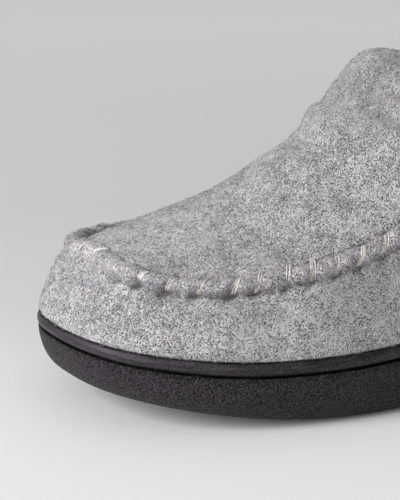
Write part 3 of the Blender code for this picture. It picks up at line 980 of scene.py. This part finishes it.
def felt_relief(upper, seam, felt):
    """Move of each point of the outer face, the shade painted there and its bareness.

    The move is the sum of the ridge, the gathers, the creases and the nap's waves. The ridge
    turns from the seam's own outward direction on the line to the surface's own at its foot.
    """
    nearest, run, lead = seam.reach(upper.points)
    off = nearest * upper.part
    fade = seam.fade(run)
    turn = limited(nearest / RIDGE_HALF)[:, None]
    direction = unit(lead * (1 - turn) + upper.outward * turn)
    ridge, shade, bare = ridge_relief(off, run, fade, felt)
    soft = felt.nap * soft_waves(upper.points, *NAP_WAVES, seed=5)
    soft += felt.dents * soft_waves(upper.points, *DENT_WAVES, seed=8)
    soft += felt.gathers * fade * gathers(off, run)
    soft -= crease_relief(upper.points)
    over_lip = lip_height(upper.points[:, 0]) + GAP
    soft *= limited((upper.points[:, 2] - over_lip) / RELIEF_RUN)
    return direction * ridge[:, None] + upper.outward * soft[:, None], shade, bare


# Sizes and colours that a user would change


def size_setting(name, description, millimetres):
    """A length in the sidebar."""
    return FloatProperty(
        name=name, description=description, default=millimetres * MM, unit="LENGTH"
    )


def colour_setting(name, description, default):
    """A colour in the sidebar."""
    return FloatVectorProperty(
        name=name, description=description, default=default, size=3, subtype="COLOR"
    )


class SlipperFelt(bpy.types.PropertyGroup):
    """Sizes and colours of the felt upper."""

    ridge_height: size_setting("Ridge Height", "Height of the sewn ridge over the felt", 2.4)
    fold_depth: size_setting("Fold Depth", "Depth of the folds and holes along the ridge", 1.7)
    gathers: size_setting("Gathers", "Height of the pleats that run out of the stitches", 0.35)
    nap: size_setting("Nap", "Height of the felt's short waves", 0.10)
    dents: size_setting("Dents", "Height of the felt's long waves", 0.25)
    pale_wool: colour_setting("Pale Wool", "Lightest wool in the felt", (0.605, 0.588, 0.61))
    grey_wool: colour_setting("Grey Wool", "Middle wool in the felt", (0.49, 0.474, 0.495))
    dark_wool: colour_setting("Dark Wool", "Darkest wool in the felt", (0.095, 0.09, 0.095))
    sheen: FloatProperty(
        name="Sheen", description="Soft light on the felt's edges", default=0.3,
        subtype="FACTOR", min=0.0, max=1.0,
    )
    fibres: IntProperty(
        name="Fibres", description="Loose fibres of each shade", default=31000, min=0
    )
    fibre_length: size_setting("Fibre Length", "Usual length of a loose fibre", 1.25)
    fibre_thick: size_setting("Fibre Thickness", "Thickness of a tuft of fibres", 0.14)


class SlipperStitch(bpy.types.PropertyGroup):
    """Sizes and colours of the whip stitches."""

    thread: size_setting("Thread", "Thickness of one strand of thread", 0.38)
    strands: IntProperty(
        name="Strands", description="Strands side by side in one stitch", default=5, min=1
    )
    cream: colour_setting("Cream", "Lightest colour of the thread", (0.74, 0.705, 0.66))
    tan: colour_setting("Tan", "Darkest colour of the thread", (0.42, 0.34, 0.31))


class SlipperSole(bpy.types.PropertyGroup):
    """Sizes and colours of the sole, the insole and the lining."""

    rubber: colour_setting("Rubber", "Colour of the moulded sole", (0.0168, 0.0140, 0.0172))
    grain_size: size_setting("Grain Size", "Size of the pebbles in the sole's grain", 0.62)
    tread_depth: size_setting("Tread Depth", "Depth of the grooves under the sole", 1.0)
    tread_pitch: size_setting("Tread Pitch", "Distance between the grooves under the sole", 11.0)
    fleece: colour_setting("Fleece", "Colour of lining and insole", (0.21, 0.205, 0.215))


class SlipperStage(bpy.types.PropertyGroup):
    """Floor, light and camera."""

    floor: colour_setting("Floor", "Colour of the floor", (0.78, 0.78, 0.78))
    ambient: FloatProperty(
        name="Ambient", description="Strength of the light from all round", default=0.42
    )
    key: FloatProperty(
        name="Key", description="Power of the large light beyond the toe", default=20.0,
        unit="POWER",
    )
    front: FloatProperty(
        name="Front", description="Power of the light before the slipper", default=5.0,
        unit="POWER",
    )
    lens: FloatProperty(
        name="Lens", description="Focal length in millimetres", default=240.77
    )


# Operators


class SLIPPER_OT_sole(bpy.types.Operator):
    """Make the moulded sole with its lip, groove, grained side and tread."""

    bl_idname = "slipper.sole"
    bl_label = "Sole"

    # Steps along the sole, round a corner, down the band and the side, and across tread and cup
    ALONG, CORNER, BAND, SIDE, TREAD, CUP = 321, 5, 7, 24, 64, 16
    # The band's bulge, and the groove's floor in shares of its width
    BULGE, GROOVE_FLOOR = 0.35 * MM, (0.08, 0.5, 0.92)
    # Lines of a side, counted from the cup: inside of the lip, first grained line, and the
    # groove's lines with the share of shade painted into each
    LIP_LINES, GRAIN_FROM = 5, 27
    GROOVE_LINES, GROOVE_MARK = (16, 20, 24, 29, 30), (0.0, 1.0, 1.0, 0.5, 0.0)
    # Marks of tread and cup: a little grain, no painted groove shade and no drop
    PLAIN = np.array([0.6, 0.0, 0.0])
    # The tread's grooves: sway, length of a sway, half width, plain edges and plain ends
    SWAY, SWAY_RUN, HALF, EDGES, ENDS = 5 * MM, 9 * MM, 1.6 * MM, 0.10, 25 * MM

    def arc(self, inset, drop, radius, first):
        """Insets and drops of a quarter circle that starts after some quarter turns."""
        turn = (first + np.linspace(0.0, 1.0, self.CORNER)) * np.pi / 2
        return [(inset + radius * np.cos(a), drop - radius * np.sin(a)) for a in turn]

    def side(self, name, shares):
        """One side, as lines from the cup's floor over the lip, into the groove and down.

        Every line is an inset from the outline and a drop below the lip. Corners are quarter
        circles, and the side below the groove tucks in as a superellipse.
        """
        points, _ = outline(name, shares)
        x = points[:, :1]
        lip = lip_height(x)
        band = smooth(LIP_LINE, "band", from_toe(x) / LENGTH)
        lower_edge = band + GROOVE_WIDTH + GROOVE_ROUND
        rows = [(LIP_WALL, CUP_DEPTH)]
        rows += self.arc(LIP_WALL - LIP_ROUND, LIP_ROUND, LIP_ROUND, 0)
        rows += self.arc(LIP_ROUND, LIP_ROUND, LIP_ROUND, 1)
        for down in np.linspace(0.0, 1.0, self.BAND)[1:-1]:
            drop = LIP_ROUND + (band - LIP_ROUND - GROOVE_ROUND) * down
            rows.append((-self.BULGE * np.sin(np.pi * down), drop))
        rows += self.arc(GROOVE_ROUND, band - GROOVE_ROUND, GROOVE_ROUND, 2)
        rows += [(GROOVE_DEPTH, band + GROOVE_WIDTH * down) for down in self.GROOVE_FLOOR]
        rows += self.arc(GROOVE_ROUND, lower_edge, GROOVE_ROUND, 1)
        rows = [(np.zeros_like(x) + inset, lip - drop) for inset, drop in rows]
        tuck = smooth(SIDE_TUCK, "tuck", shares)[:, None]
        top = lip - lower_edge
        bottom = tread_height(section(name, shares, tuck, 0.0)[..., 0])
        for fall in np.sin(np.linspace(0.0, np.pi / 2, self.SIDE))[1:]:
            turned = 1 - (1 - fall**TUCK_FALL) ** (1 / TUCK_TURN)
            rows.append((tuck * turned, top + (bottom - top) * fall))
        inset, height = (np.concatenate(columns, axis=1) for columns in zip(*rows))
        line = np.arange(len(rows))
        marks = np.zeros((*inset.shape, 3))
        marks[..., 0] = line >= self.GRAIN_FROM
        # The groove's mark: the share of shade painted there
        marks[..., 1] = np.interp(line, self.GROOVE_LINES, self.GROOVE_MARK)
        marks[..., 2] = np.where(line < self.LIP_LINES, 0.0, (lip - height) / band)
        return section(name, shares, inset, height), marks

    def execute(self, context):
        sole = context.scene.slipper_sole
        shares = np.linspace(0.0, 1.0, self.ALONG)
        outer, outer_marks = self.side("outer", shares)
        inner, inner_marks = self.side("inner", shares)

        def tread(x, y, share):
            """Wavy grooves across the tread, fading out towards its edges and ends."""
            phase = (x + self.SWAY * np.sin(y / self.SWAY_RUN)) / sole.tread_pitch
            groove = bell((phase - np.round(phase)) * sole.tread_pitch, self.HALF)
            edge = limited(np.minimum(share, 1 - share) / self.EDGES)
            ends = limited(np.minimum(from_toe(x), LENGTH - from_toe(x)) / self.ENDS)
            return tread_height(x) + sole.tread_depth * groove * edge * ends

        def plain_marks(lines):
            """The same marks at every point of some lines."""
            return np.broadcast_to(self.PLAIN, lines.shape)

        under = between(outer[:, -1], inner[:, -1], self.TREAD, tread)
        floor = between(inner[:, 0], outer[:, 0], self.CUP, lambda x, y, share: cup_floor(x))
        ring = np.concatenate([outer, under, inner[:, ::-1], floor, outer[:, :1]], axis=1)
        marks = np.concatenate(
            [
                outer_marks, plain_marks(under), inner_marks[:, ::-1], plain_marks(floor),
                outer_marks[:, :1],
            ],
            axis=1,
        )
        piece = add_welded(
            "moulded_sole", ring.reshape(-1, 3), grid_faces(*ring.shape[:2], flip=True),
            rubber_finish(sole),
            dict(zip(("grain", "groove", "drop"), marks.reshape(-1, 3).T)),
        )
        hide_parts("outsole")
        return {"FINISHED"}


class SLIPPER_OT_insole(bpy.types.Operator):
    """Make the fleece-covered insole that lies in the sole's cup."""

    bl_idname = "slipper.insole"
    bl_label = "Insole"

    # Steps along the insole, round its edge, and across its top and its underside
    ALONG, CORNER, TOP, UNDER = 201, 7, 56, 12
    # Depth of the dish and its power, and height of the soft waves
    DISH, DISH_POWER, UNEVEN = 0.9 * MM, 3, 0.18 * MM

    def execute(self, context):
        shares = np.linspace(0.0, 1.0, self.ALONG)
        rim = FEATHER_INSET + WALL_THICK + GAP
        turn = np.linspace(0.0, np.pi / 2, self.CORNER)
        inset = np.concatenate([[rim], rim + INSOLE_EDGE * (1 - np.cos(turn))])
        inset = np.tile(inset, (len(shares), 1))
        rise = INSOLE_THICK - INSOLE_EDGE + INSOLE_EDGE * np.sin(turn)
        sides = []
        for name in SIGN:
            under = cup_floor(section(name, shares, inset, 0.0)[..., 0]) + GAP
            sides.append(section(name, shares, inset, under + np.concatenate([[0.0], rise])))
        outer, inner = sides

        def top(x, y, share):
            """The cup's floor plus the thickness, dished a little and softly uneven."""
            dish = self.DISH * (1 - np.abs(2 * share - 1) ** self.DISH_POWER)
            places = np.stack([x, y, np.zeros_like(x)], axis=-1)
            uneven = self.UNEVEN * soft_waves(places, *INSOLE_WAVES, seed=21)
            return cup_floor(x) + GAP + INSOLE_THICK - dish + uneven * (share * (1 - share) * 4)

        over = between(outer[:, -1], inner[:, -1], self.TOP, top)
        under = between(
            inner[:, 0], outer[:, 0], self.UNDER, lambda x, y, share: cup_floor(x) + GAP
        )
        ring = np.concatenate([outer, over, inner[:, ::-1], under, outer[:, :1]], axis=1)
        finish = fleece_finish("insole_fleece", context.scene.slipper_sole.fleece)
        piece = add_welded(
            "fleece_insole", ring.reshape(-1, 3), grid_faces(*ring.shape[:2]), finish
        )
        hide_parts("insole")
        return {"FINISHED"}


class SLIPPER_OT_upper(bpy.types.Operator):
    """Make the felt upper with its raised seam, gathers and creases."""

    bl_idname = "slipper.upper"
    bl_label = "Felt Upper"

    def execute(self, context):
        felt = context.scene.slipper_felt
        upper = Upper(front=220, rear=60, up=46, across=72)
        move, shade, bare = felt_relief(upper, Seam(upper), felt)
        outside = upper.points + move
        inside = upper.points - upper.outward * FELT
        points, squares, triangles = upper.shell(outside, inside, rim_steps=6)
        # Marks: the shade painted into the ridge's folds, and the patches of painted light and
        # shade
        painted_patch, calm = painted_patch_tone(upper.points), wool_calm(upper.points)
        marks = np.zeros((5, len(points)))
        marks[:, : len(outside)] = np.stack([np.ones_like(shade), shade, bare, painted_patch, calm])
        piece = add_piece(
            "felt_upper", points, squares + triangles, felt_finish(felt),
            dict(zip(("outer_face", "fold_and_painted_shade", "bare", "painted_patch", "calm"), marks)),
        )
        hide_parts("upper")
        return {"FINISHED"}


class SLIPPER_OT_lining(bpy.types.Operator):
    """Make the fleece lining inside the felt."""

    bl_idname = "slipper.lining"
    bl_label = "Lining"

    def execute(self, context):
        upper = Upper(front=80, rear=60, up=24, across=48)
        outside = upper.points - upper.outward * (WALL_THICK - LINING)
        inside = upper.points - upper.outward * WALL_THICK
        points, squares, triangles = upper.shell(outside, inside, rim_steps=4)
        finish = fleece_finish("lining_fleece", context.scene.slipper_sole.fleece)
        add_piece("fleece_lining", points, squares + triangles, finish)
        return {"FINISHED"}


def read_felt():
    """The felt upper's mesh, its points and its marks."""
    upper = bpy.data.objects.get("felt_upper")
    if upper is None:
        raise RuntimeError("make the felt upper before what lies on it")
    mesh = upper.data
    points = np.empty(len(mesh.vertices) * 3)
    mesh.vertices.foreach_get("co", points)
    marks = {}
    for name in ("outer_face", "bare"):
        marks[name] = np.empty(len(mesh.vertices), np.float32)
        mesh.attributes[name].data.foreach_get("value", marks[name])
    return mesh, points.reshape(-1, 3), marks


# A skin's points that count for its level: near a stitch, near its height, and a bell aside
NEAR_STITCH, NEAR_HEIGHT, LEVEL_WIDTH = 16 * MM, 8 * MM, 0.55 * MM


def level_over(skin, base, direction):
    """Height of a skin of points over base points, along their directions.

    A mean of the skin's points near each direction's line, weighted by a bell of their
    distance from it.
    """
    near = skin[np.linalg.norm(skin - base.mean(axis=0), axis=1) < NEAR_STITCH]
    apart = near[None] - base[:, None]
    along = np.einsum("ijk,ik->ij", apart, direction)
    aside = (apart**2).sum(axis=2) - along**2
    weight = np.exp(-aside / (2 * LEVEL_WIDTH**2)) * (np.abs(along) < NEAR_HEIGHT)
    weight = weight + LEAST_WEIGHT
    return (weight * along).sum(axis=1) / weight.sum(axis=1)


class SLIPPER_OT_stitches(bpy.types.Operator):
    """Make the whip stitches over the seam's ridge."""

    bl_idname = "slipper.stitches"
    bl_label = "Whip Stitches"

    # Points along a strand, corners round a ply, and plies in a strand
    STEPS, CORNERS, PLIES = 17, 6, 2
    # Strands: spacing in thicknesses, fraying, spread of the slant, and share that is missing
    SPACING, FRAY, LEAN, MISSING = 0.95, 0.12 * MM, 0.06, 0.12
    # Height over the felt, the dive at both ends and its power, and the depth of hidden ones
    OVER, DIVE, DIVE_POWER, SUNK = 0.22 * MM, 1.4 * MM, 10, 1.0 * MM
    # How tightly the thread spans the dips, and the power of its arch
    TIGHT, ARCH_POWER = 0.97, 1.6
    # Twist of the plies, their distance from the strand's line, thickness, and taper's power
    TWIST, PLY_APART, PLY_THICK, TAPER_POWER = 7.0, 0.45, 0.62, 14

    def strands(self, stitch, seam, random, q):
        """Middle lines of the strands, and the directions out of the felt along them.

        A strand runs over the ridge from the wall (q below 0) to the apron, slanted and a
        little frayed. The thread is drawn tight: it spans the dips from the ridge's crest to
        both ends, where it dives into the felt.
        """
        shape = (len(STITCH_RUNS), stitch.strands, 1)
        reach = [along_seam(name, STITCH_RUNS) for name in ("wall_reach", "apron_reach")]
        reach = MM * np.where(q < 0, *(r[:, None, None] for r in reach)) * q + RIDGE_SHIFT
        slant = along_seam("slant", STITCH_RUNS)[:, None, None]
        beside = (np.arange(stitch.strands) - (stitch.strands - 1) / 2) * stitch.thread
        fray = random.normal(0.0, self.FRAY, shape)
        lean = slant + random.normal(0.0, self.LEAN, shape)
        place = STITCH_RUNS[:, None, None] + self.SPACING * beside[None, :, None]
        run = place + fray - lean * reach
        off = np.broadcast_to(reach, run.shape)
        far = run > HIDDEN_FROM
        hidden = np.maximum(far * (run < HAIRY_TO) * limited(1 + 2 * q), far * (run < HIDDEN_TO))
        missing = random.random(shape) < self.MISSING
        lift = self.OVER - self.DIVE * np.abs(q) ** self.DIVE_POWER
        lift = lift - self.SUNK * hidden - self.SUNK * missing
        outward = unit(seam.at(seam.outward, run))
        across = unit(seam.at(seam.across, run))
        fall = np.interp(run, seam.run, seam.fall)
        flat = np.sqrt(1 - fall**2)
        base = seam.at(seam.line, run) + across * (off * flat)[..., None]
        base = base - outward * (np.abs(off) * fall)[..., None]
        side = np.sign(off)[..., None] * across
        own = unit(outward * flat[..., None] + side * fall[..., None])
        turn = limited(np.abs(off) / RIDGE_HALF)[..., None]
        direction = unit(outward * (1 - turn) + own * turn)
        _, skin, marks = read_felt()
        skin = skin[marks["outer_face"] > 0.5]
        each = zip(*(lines.reshape(len(STITCH_RUNS), -1, 3) for lines in (base, direction)))
        height = np.stack([level_over(skin, *one) for one in each]).reshape(run.shape)
        crest = height.max(axis=2, keepdims=True)
        span = height[:, :, :1] * (q < 0) + height[:, :, -1:] * (q >= 0)
        arch = (1 - np.abs(q) ** self.ARCH_POWER) * self.TIGHT
        height = np.maximum(height, span + (crest - span) * arch)
        return base + direction * (height + lift)[..., None], direction

    def plies(self, stitch, line, direction, random, q):
        """Two plies that twist round each strand's line, as tubes that taper at both ends."""
        tangent = unit(np.gradient(line, axis=2))
        sideways = unit(np.cross(tangent, direction))
        normal = np.cross(sideways, tangent)
        start = random.uniform(0.0, 2 * np.pi, (*line.shape[:2], self.PLIES))
        spin = start[..., None] + self.TWIST * q
        spin[:, :, 1] = spin[:, :, 0] + np.pi
        radius = stitch.thread / 2
        lines = line[:, :, None] + self.PLY_APART * radius * (
            np.cos(spin)[..., None] * sideways[:, :, None]
            + np.sin(spin)[..., None] * normal[:, :, None]
        )
        angle = np.linspace(0.0, 2 * np.pi, self.CORNERS, endpoint=False)
        ring = (
            np.cos(angle)[:, None] * sideways[:, :, None, :, None]
            + np.sin(angle)[:, None] * normal[:, :, None, :, None]
        )
        taper = np.sqrt(limited(1 - np.abs(q) ** self.TAPER_POWER))
        thick = (self.PLY_THICK * radius * taper)[None, None, None, :, None, None]
        tubes = (lines[..., None, :] + ring * thick).reshape(-1, self.STEPS, self.CORNERS, 3)
        return np.concatenate([tubes, tubes[:, :, :1]], axis=2)

    def execute(self, context):
        stitch = context.scene.slipper_stitch
        seam = Seam(Upper(front=220, rear=4, up=46, across=24))
        random = np.random.default_rng(31)
        q = np.linspace(-1.0, 1.0, self.STEPS)
        line, direction = self.strands(stitch, seam, random, q)
        tubes = self.plies(stitch, line, direction, random, q)
        per = self.STEPS * (self.CORNERS + 1)
        one = grid_faces(self.STEPS, self.CORNERS + 1)
        quads = (one[None] + per * np.arange(len(tubes))[:, None, None]).reshape(-1, 4)
        shade = np.repeat(random.random(len(tubes) // self.PLIES), self.PLIES * per)
        add_welded(
            "whip_stitches", tubes.reshape(-1, 3), quads, thread_finish(stitch),
            {"shade": shade},
        )
        return {"FINISHED"}


class SLIPPER_OT_fibres(bpy.types.Operator):
    """Make the loose wool fibres that stand off the felt, in three shades."""

    bl_idname = "slipper.fibres"
    bl_label = "Loose Fibres"

    # Lean of each shade to the patches, and the first shade's seed
    LEANS = {"pale": 0.35, "grey": 0.0, "dark": -0.35}
    SEED, OVER_LIP = 100, 0.1 * MM
    # How much less dense fibres are on even wool, for any shade and by its lean
    CALM_LESS, CALM_LEAN, LEAST, MOST = 0.8, 1.2, 0.1, 3.0
    # Shares of length, of a fibre that stands and of one that lies: whole, bend's rise, forward
    POSTURES = {"length": (0.4, 1.0), "rise": (0.45, 0.06), "forward": (0.55, 1.0)}
    STANDING, STANDING_HAIRY, TIP_RISE = 0.05, 0.3, 0.62
    # Highest and lowest lift of a lying fibre, depth of the root, spreads of length and bow
    LIFT, SINK, ROOT, LENGTHS, BOW = 0.30 * MM, 0.12 * MM, 0.08 * MM, 0.35, 0.16
    # Least and greatest thickness, and how flat a fibre is
    THINNEST, THICKEST, FLAT = 0.6, 1.25, 0.7

    def execute(self, context):
        felt = context.scene.slipper_felt
        mesh, points, marks = read_felt()
        outer, bare = marks["outer_face"], marks["bare"]
        start = np.empty(len(mesh.polygons), np.int32)
        total = np.empty(len(mesh.polygons), np.int32)
        corner = np.empty(len(mesh.loops), np.int32)
        mesh.polygons.foreach_get("loop_start", start)
        mesh.polygons.foreach_get("loop_total", total)
        mesh.loops.foreach_get("vertex_index", corner)
        squares = corner[start[total == 4][:, None] + np.arange(4)]
        grown = (outer[squares].min(axis=1) > 0.5) & (bare[squares].max(axis=1) < BARE_FROM)
        squares = squares[grown]
        over_lip = lip_height(points[squares, 0].mean(axis=1)) + GAP
        squares = squares[points[squares, 2].mean(axis=1) > over_lip + self.OVER_LIP]
        outward = outward_at(points, squares)
        hairy = limited(-bare[squares].mean(axis=1))
        for number, (shade, lean) in enumerate(self.LEANS.items()):
            colour = getattr(felt, f"{shade}_wool")
            finish, _, _ = new_finish(
                f"{shade}_wool", Base_Color=(*colour, 1.0), Roughness=0.9,
                Specular_IOR_Level=0.15, Sheen_Weight=0.2,
            )
            random = np.random.default_rng(self.SEED + number)
            tufts, faces = self.tufts(points, outward, squares, hairy, felt, lean, random)
            add_piece(f"{shade}_fibres", tufts, [faces], finish)
        return {"FINISHED"}

    def tufts(self, points, outward, squares, hairy, felt, lean, random):
        """Fibres as thin spindles: a root, a bend with three corners and a tip.

        Roots are spread by area, thicker where soft waves times the shade's lean are high and
        thinner on even wool. A fibre lies along the felt in a random direction, with its bend
        pushed sideways. One in twenty, and more where the felt is hairy, stands up and is
        shorter.
        """
        corners = points[squares]
        area = np.linalg.norm(
            np.cross(corners[:, 2] - corners[:, 0], corners[:, 3] - corners[:, 1]), axis=1
        )
        patches = soft_waves(corners.mean(axis=1), *PATCH_WAVES, seed=44)
        less = (self.CALM_LESS + self.CALM_LEAN * lean) * wool_calm(corners.mean(axis=1))
        area = area * np.clip(1 + lean * patches, self.LEAST, self.MOST) * (1 + hairy)
        area = area * np.clip(1 - less, self.LEAST, None)
        number = felt.fibres
        face = random.choice(len(squares), number, p=area / area.sum())
        u, v = random.random((2, number, 1))
        weights = [(1 - u) * (1 - v), u * (1 - v), u * v, (1 - u) * v]
        root = sum(w * corners[face, k] for k, w in enumerate(weights))
        up = unit(sum(w * outward[squares[face, k]] for k, w in enumerate(weights)))
        way = random.normal(size=(number, 3))
        way = unit(way - up * (way * up).sum(axis=1, keepdims=True))
        aside = np.cross(up, way)
        length = felt.fibre_length * np.exp(random.normal(0.0, self.LENGTHS, (number, 1)))
        upright = self.STANDING + self.STANDING_HAIRY * hairy[face, None]
        stands = random.random((number, 1)) < upright
        posture = {name: np.where(stands, *pair) for name, pair in self.POSTURES.items()}
        length = posture["length"] * length
        bend_up = posture["rise"] * length + random.uniform(0.0, self.LIFT, (number, 1))
        lying_tip = random.uniform(-self.SINK, self.LIFT, (number, 1))
        tip_up = np.where(stands, self.TIP_RISE * length, lying_tip)
        along = posture["forward"] * length
        bow = random.normal(0.0, self.BOW, (number, 1)) * length
        bend = root + way * along * 0.5 + aside * bow + up * bend_up
        tip = root + way * along + up * tip_up
        root = root - up * self.ROOT
        thick = random.uniform(self.THINNEST, self.THICKEST, (number, 1)) * felt.fibre_thick / 2
        angle = np.pi / 2 + np.arange(3) * np.pi * 2 / 3
        ring = [bend + thick * (np.cos(a) * aside + self.FLAT * np.sin(a) * up) for a in angle]
        tufts = np.stack([root, *ring, tip], axis=1).reshape(-1, 3)
        one = np.array([[0, 2, 1], [0, 3, 2], [0, 1, 3], [4, 1, 2], [4, 2, 3], [4, 3, 1]])
        faces = (one[None] + 5 * np.arange(number)[:, None, None]).reshape(-1, 3)
        return tufts, faces


class SLIPPER_OT_stage(bpy.types.Operator):
    """Make the floor, with painted shade a little darker behind the slipper, the light and the
    camera.
    """

    bl_idname = "slipper.stage"
    bl_label = "Stage"

    EYE = Vector((-0.6019, -0.8976, 0.3651))
    AIM = Vector((-0.0863, 0.0194, 0.0420))
    ROLL = radians(-0.56)
    SENSOR, FARTHEST = 36.0, 50.0
    # Level directions away from the camera and across its view, and the floor's painted light and
    # shade, which stands in for the light's fall-off: along the first, from a distance before the
    # slipper on, and along the second
    AWAY, ASIDE = (0.5191, 0.8547, 0.0), (0.8547, -0.5191, 0.0)
    FADE_FROM = 0.15
    FADE_PLACES = (0.0, 0.04, 0.086, 0.135, 0.19, 0.315, 0.47, 0.62, 0.75)
    PAINTED_FLOOR_FALLOFF = (0.98, 1.0, 1.03, 0.975, 0.898, 0.867, 0.945, 1.06, 1.11)
    ASIDE_SHADE, ASIDE_SLOPE = 1.05, 0.33
    FLOOR_REACH = 6.0
    # Places of the two lamps, what both light, and their size
    KEY, FRONT = Vector((-1.25, -0.08, 0.60)), Vector((-0.6, -1.4, 0.35))
    LIT, LAMP_SIZE = Vector((-0.06, 0.0, 0.03)), 0.8

    def lamp(self, name, place, power):
        """A round lamp that lights the slipper."""
        lamp = bpy.data.lights.new(name, "AREA")
        lamp.shape = "DISK"
        lamp.size = self.LAMP_SIZE
        lamp.energy = power
        held = bpy.data.objects.new(name, lamp)
        held.location = place
        held.rotation_euler = (self.LIT - place).to_track_quat("-Z", "Y").to_euler()
        bpy.context.scene.collection.objects.link(held)

    def floor(self, colour):
        """A level floor with light and shade painted on it along and across the view."""
        finish, tree, shader = new_finish(
            "studio_floor", Roughness=0.75, Specular_IOR_Level=0.2
        )
        where = own_places(tree)
        behind = vectors(tree, "DOT_PRODUCT", where, self.AWAY, out="Value")
        behind = math(tree, "ADD", behind, self.FADE_FROM)
        aside = vectors(tree, "DOT_PRODUCT", where, self.ASIDE, out="Value")
        painted_floor_shade = node(
            tree, "ShaderNodeVectorMath",
            {
                "Vector": shades(tree, behind, colour, zip(self.FADE_PLACES, self.PAINTED_FLOOR_FALLOFF)),
                "Scale": scaled(tree, aside, self.ASIDE_SLOPE, self.ASIDE_SHADE),
            },
            operation="SCALE",
        ).outputs["Vector"]
        tree.links.new(painted_floor_shade, shader.inputs["Base Color"])
        mesh = bpy.data.meshes.new("floor")
        corners = ((-1, -1, 0), (1, -1, 0), (1, 1, 0), (-1, 1, 0))
        mesh.from_pydata(np.multiply(corners, self.FLOOR_REACH).tolist(), [], [(0, 1, 2, 3)])
        mesh.materials.append(finish)
        floor = bpy.data.objects.new("floor", mesh)
        bpy.context.scene.collection.objects.link(floor)

    def execute(self, context):
        stage, scene = context.scene.slipper_stage, context.scene
        self.floor(stage.floor)
        world = bpy.data.worlds.new("studio")
        world.use_nodes = True
        sky = world.node_tree.nodes["Background"]
        sky.inputs["Color"].default_value = (1.0, 1.0, 1.0, 1.0)
        sky.inputs["Strength"].default_value = stage.ambient
        scene.world = world
        self.lamp("key", self.KEY, stage.key)
        self.lamp("front", self.FRONT, stage.front)

        lens = bpy.data.cameras.new("camera")
        lens.lens = stage.lens
        lens.sensor_width = self.SENSOR
        lens.clip_end = self.FARTHEST
        camera = bpy.data.objects.new("camera", lens)
        camera.location = self.EYE
        level = (self.AIM - self.EYE).to_track_quat("-Z", "Y")
        camera.rotation_euler = (level @ Quaternion((0.0, 0.0, 1.0), self.ROLL)).to_euler()
        scene.collection.objects.link(camera)
        scene.camera = camera
        scene.view_settings.view_transform = "Standard"
        return {"FINISHED"}


class SLIPPER_PT_pieces(bpy.types.Panel):
    """Lists the slipper's pieces and its stage."""

    bl_label = "Slipper"
    bl_idname = "SLIPPER_PT_pieces"
    bl_space_type = "VIEW_3D"
    bl_region_type = "UI"
    bl_category = "Slipper"

    def draw(self, context):
        for operator in OPERATORS:
            self.layout.operator(operator.bl_idname)
        for settings in SETTINGS:
            box = self.layout.box()
            for name in settings.__annotations__:
                box.prop(getattr(context.scene, SETTINGS[settings]), name)


SETTINGS = {
    SlipperFelt: "slipper_felt",
    SlipperStitch: "slipper_stitch",
    SlipperSole: "slipper_sole",
    SlipperStage: "slipper_stage",
}
OPERATORS = (
    SLIPPER_OT_stage,
    SLIPPER_OT_sole,
    SLIPPER_OT_insole,
    SLIPPER_OT_lining,
    SLIPPER_OT_upper,
    SLIPPER_OT_stitches,
    SLIPPER_OT_fibres,
)


def register():
    """Makes the settings, the operators and the panel known to Blender."""
    for made in (*SETTINGS, *OPERATORS, SLIPPER_PT_pieces):
        bpy.utils.register_class(made)
    for settings, name in SETTINGS.items():
        setattr(bpy.types.Scene, name, PointerProperty(type=settings))


def unregister():
    """Takes back what register does."""
    for name in SETTINGS.values():
        delattr(bpy.types.Scene, name)
    for made in reversed((*SETTINGS, *OPERATORS, SLIPPER_PT_pieces)):
        bpy.utils.unregister_class(made)


def main():
    """Makes the stage and every piece."""
    register()
    bpy.ops.slipper.stage()
    bpy.ops.slipper.sole()
    bpy.ops.slipper.insole()
    bpy.ops.slipper.lining()
    bpy.ops.slipper.upper()
    bpy.ops.slipper.stitches()
    bpy.ops.slipper.fibres()


if __name__ == "__main__":
    main()
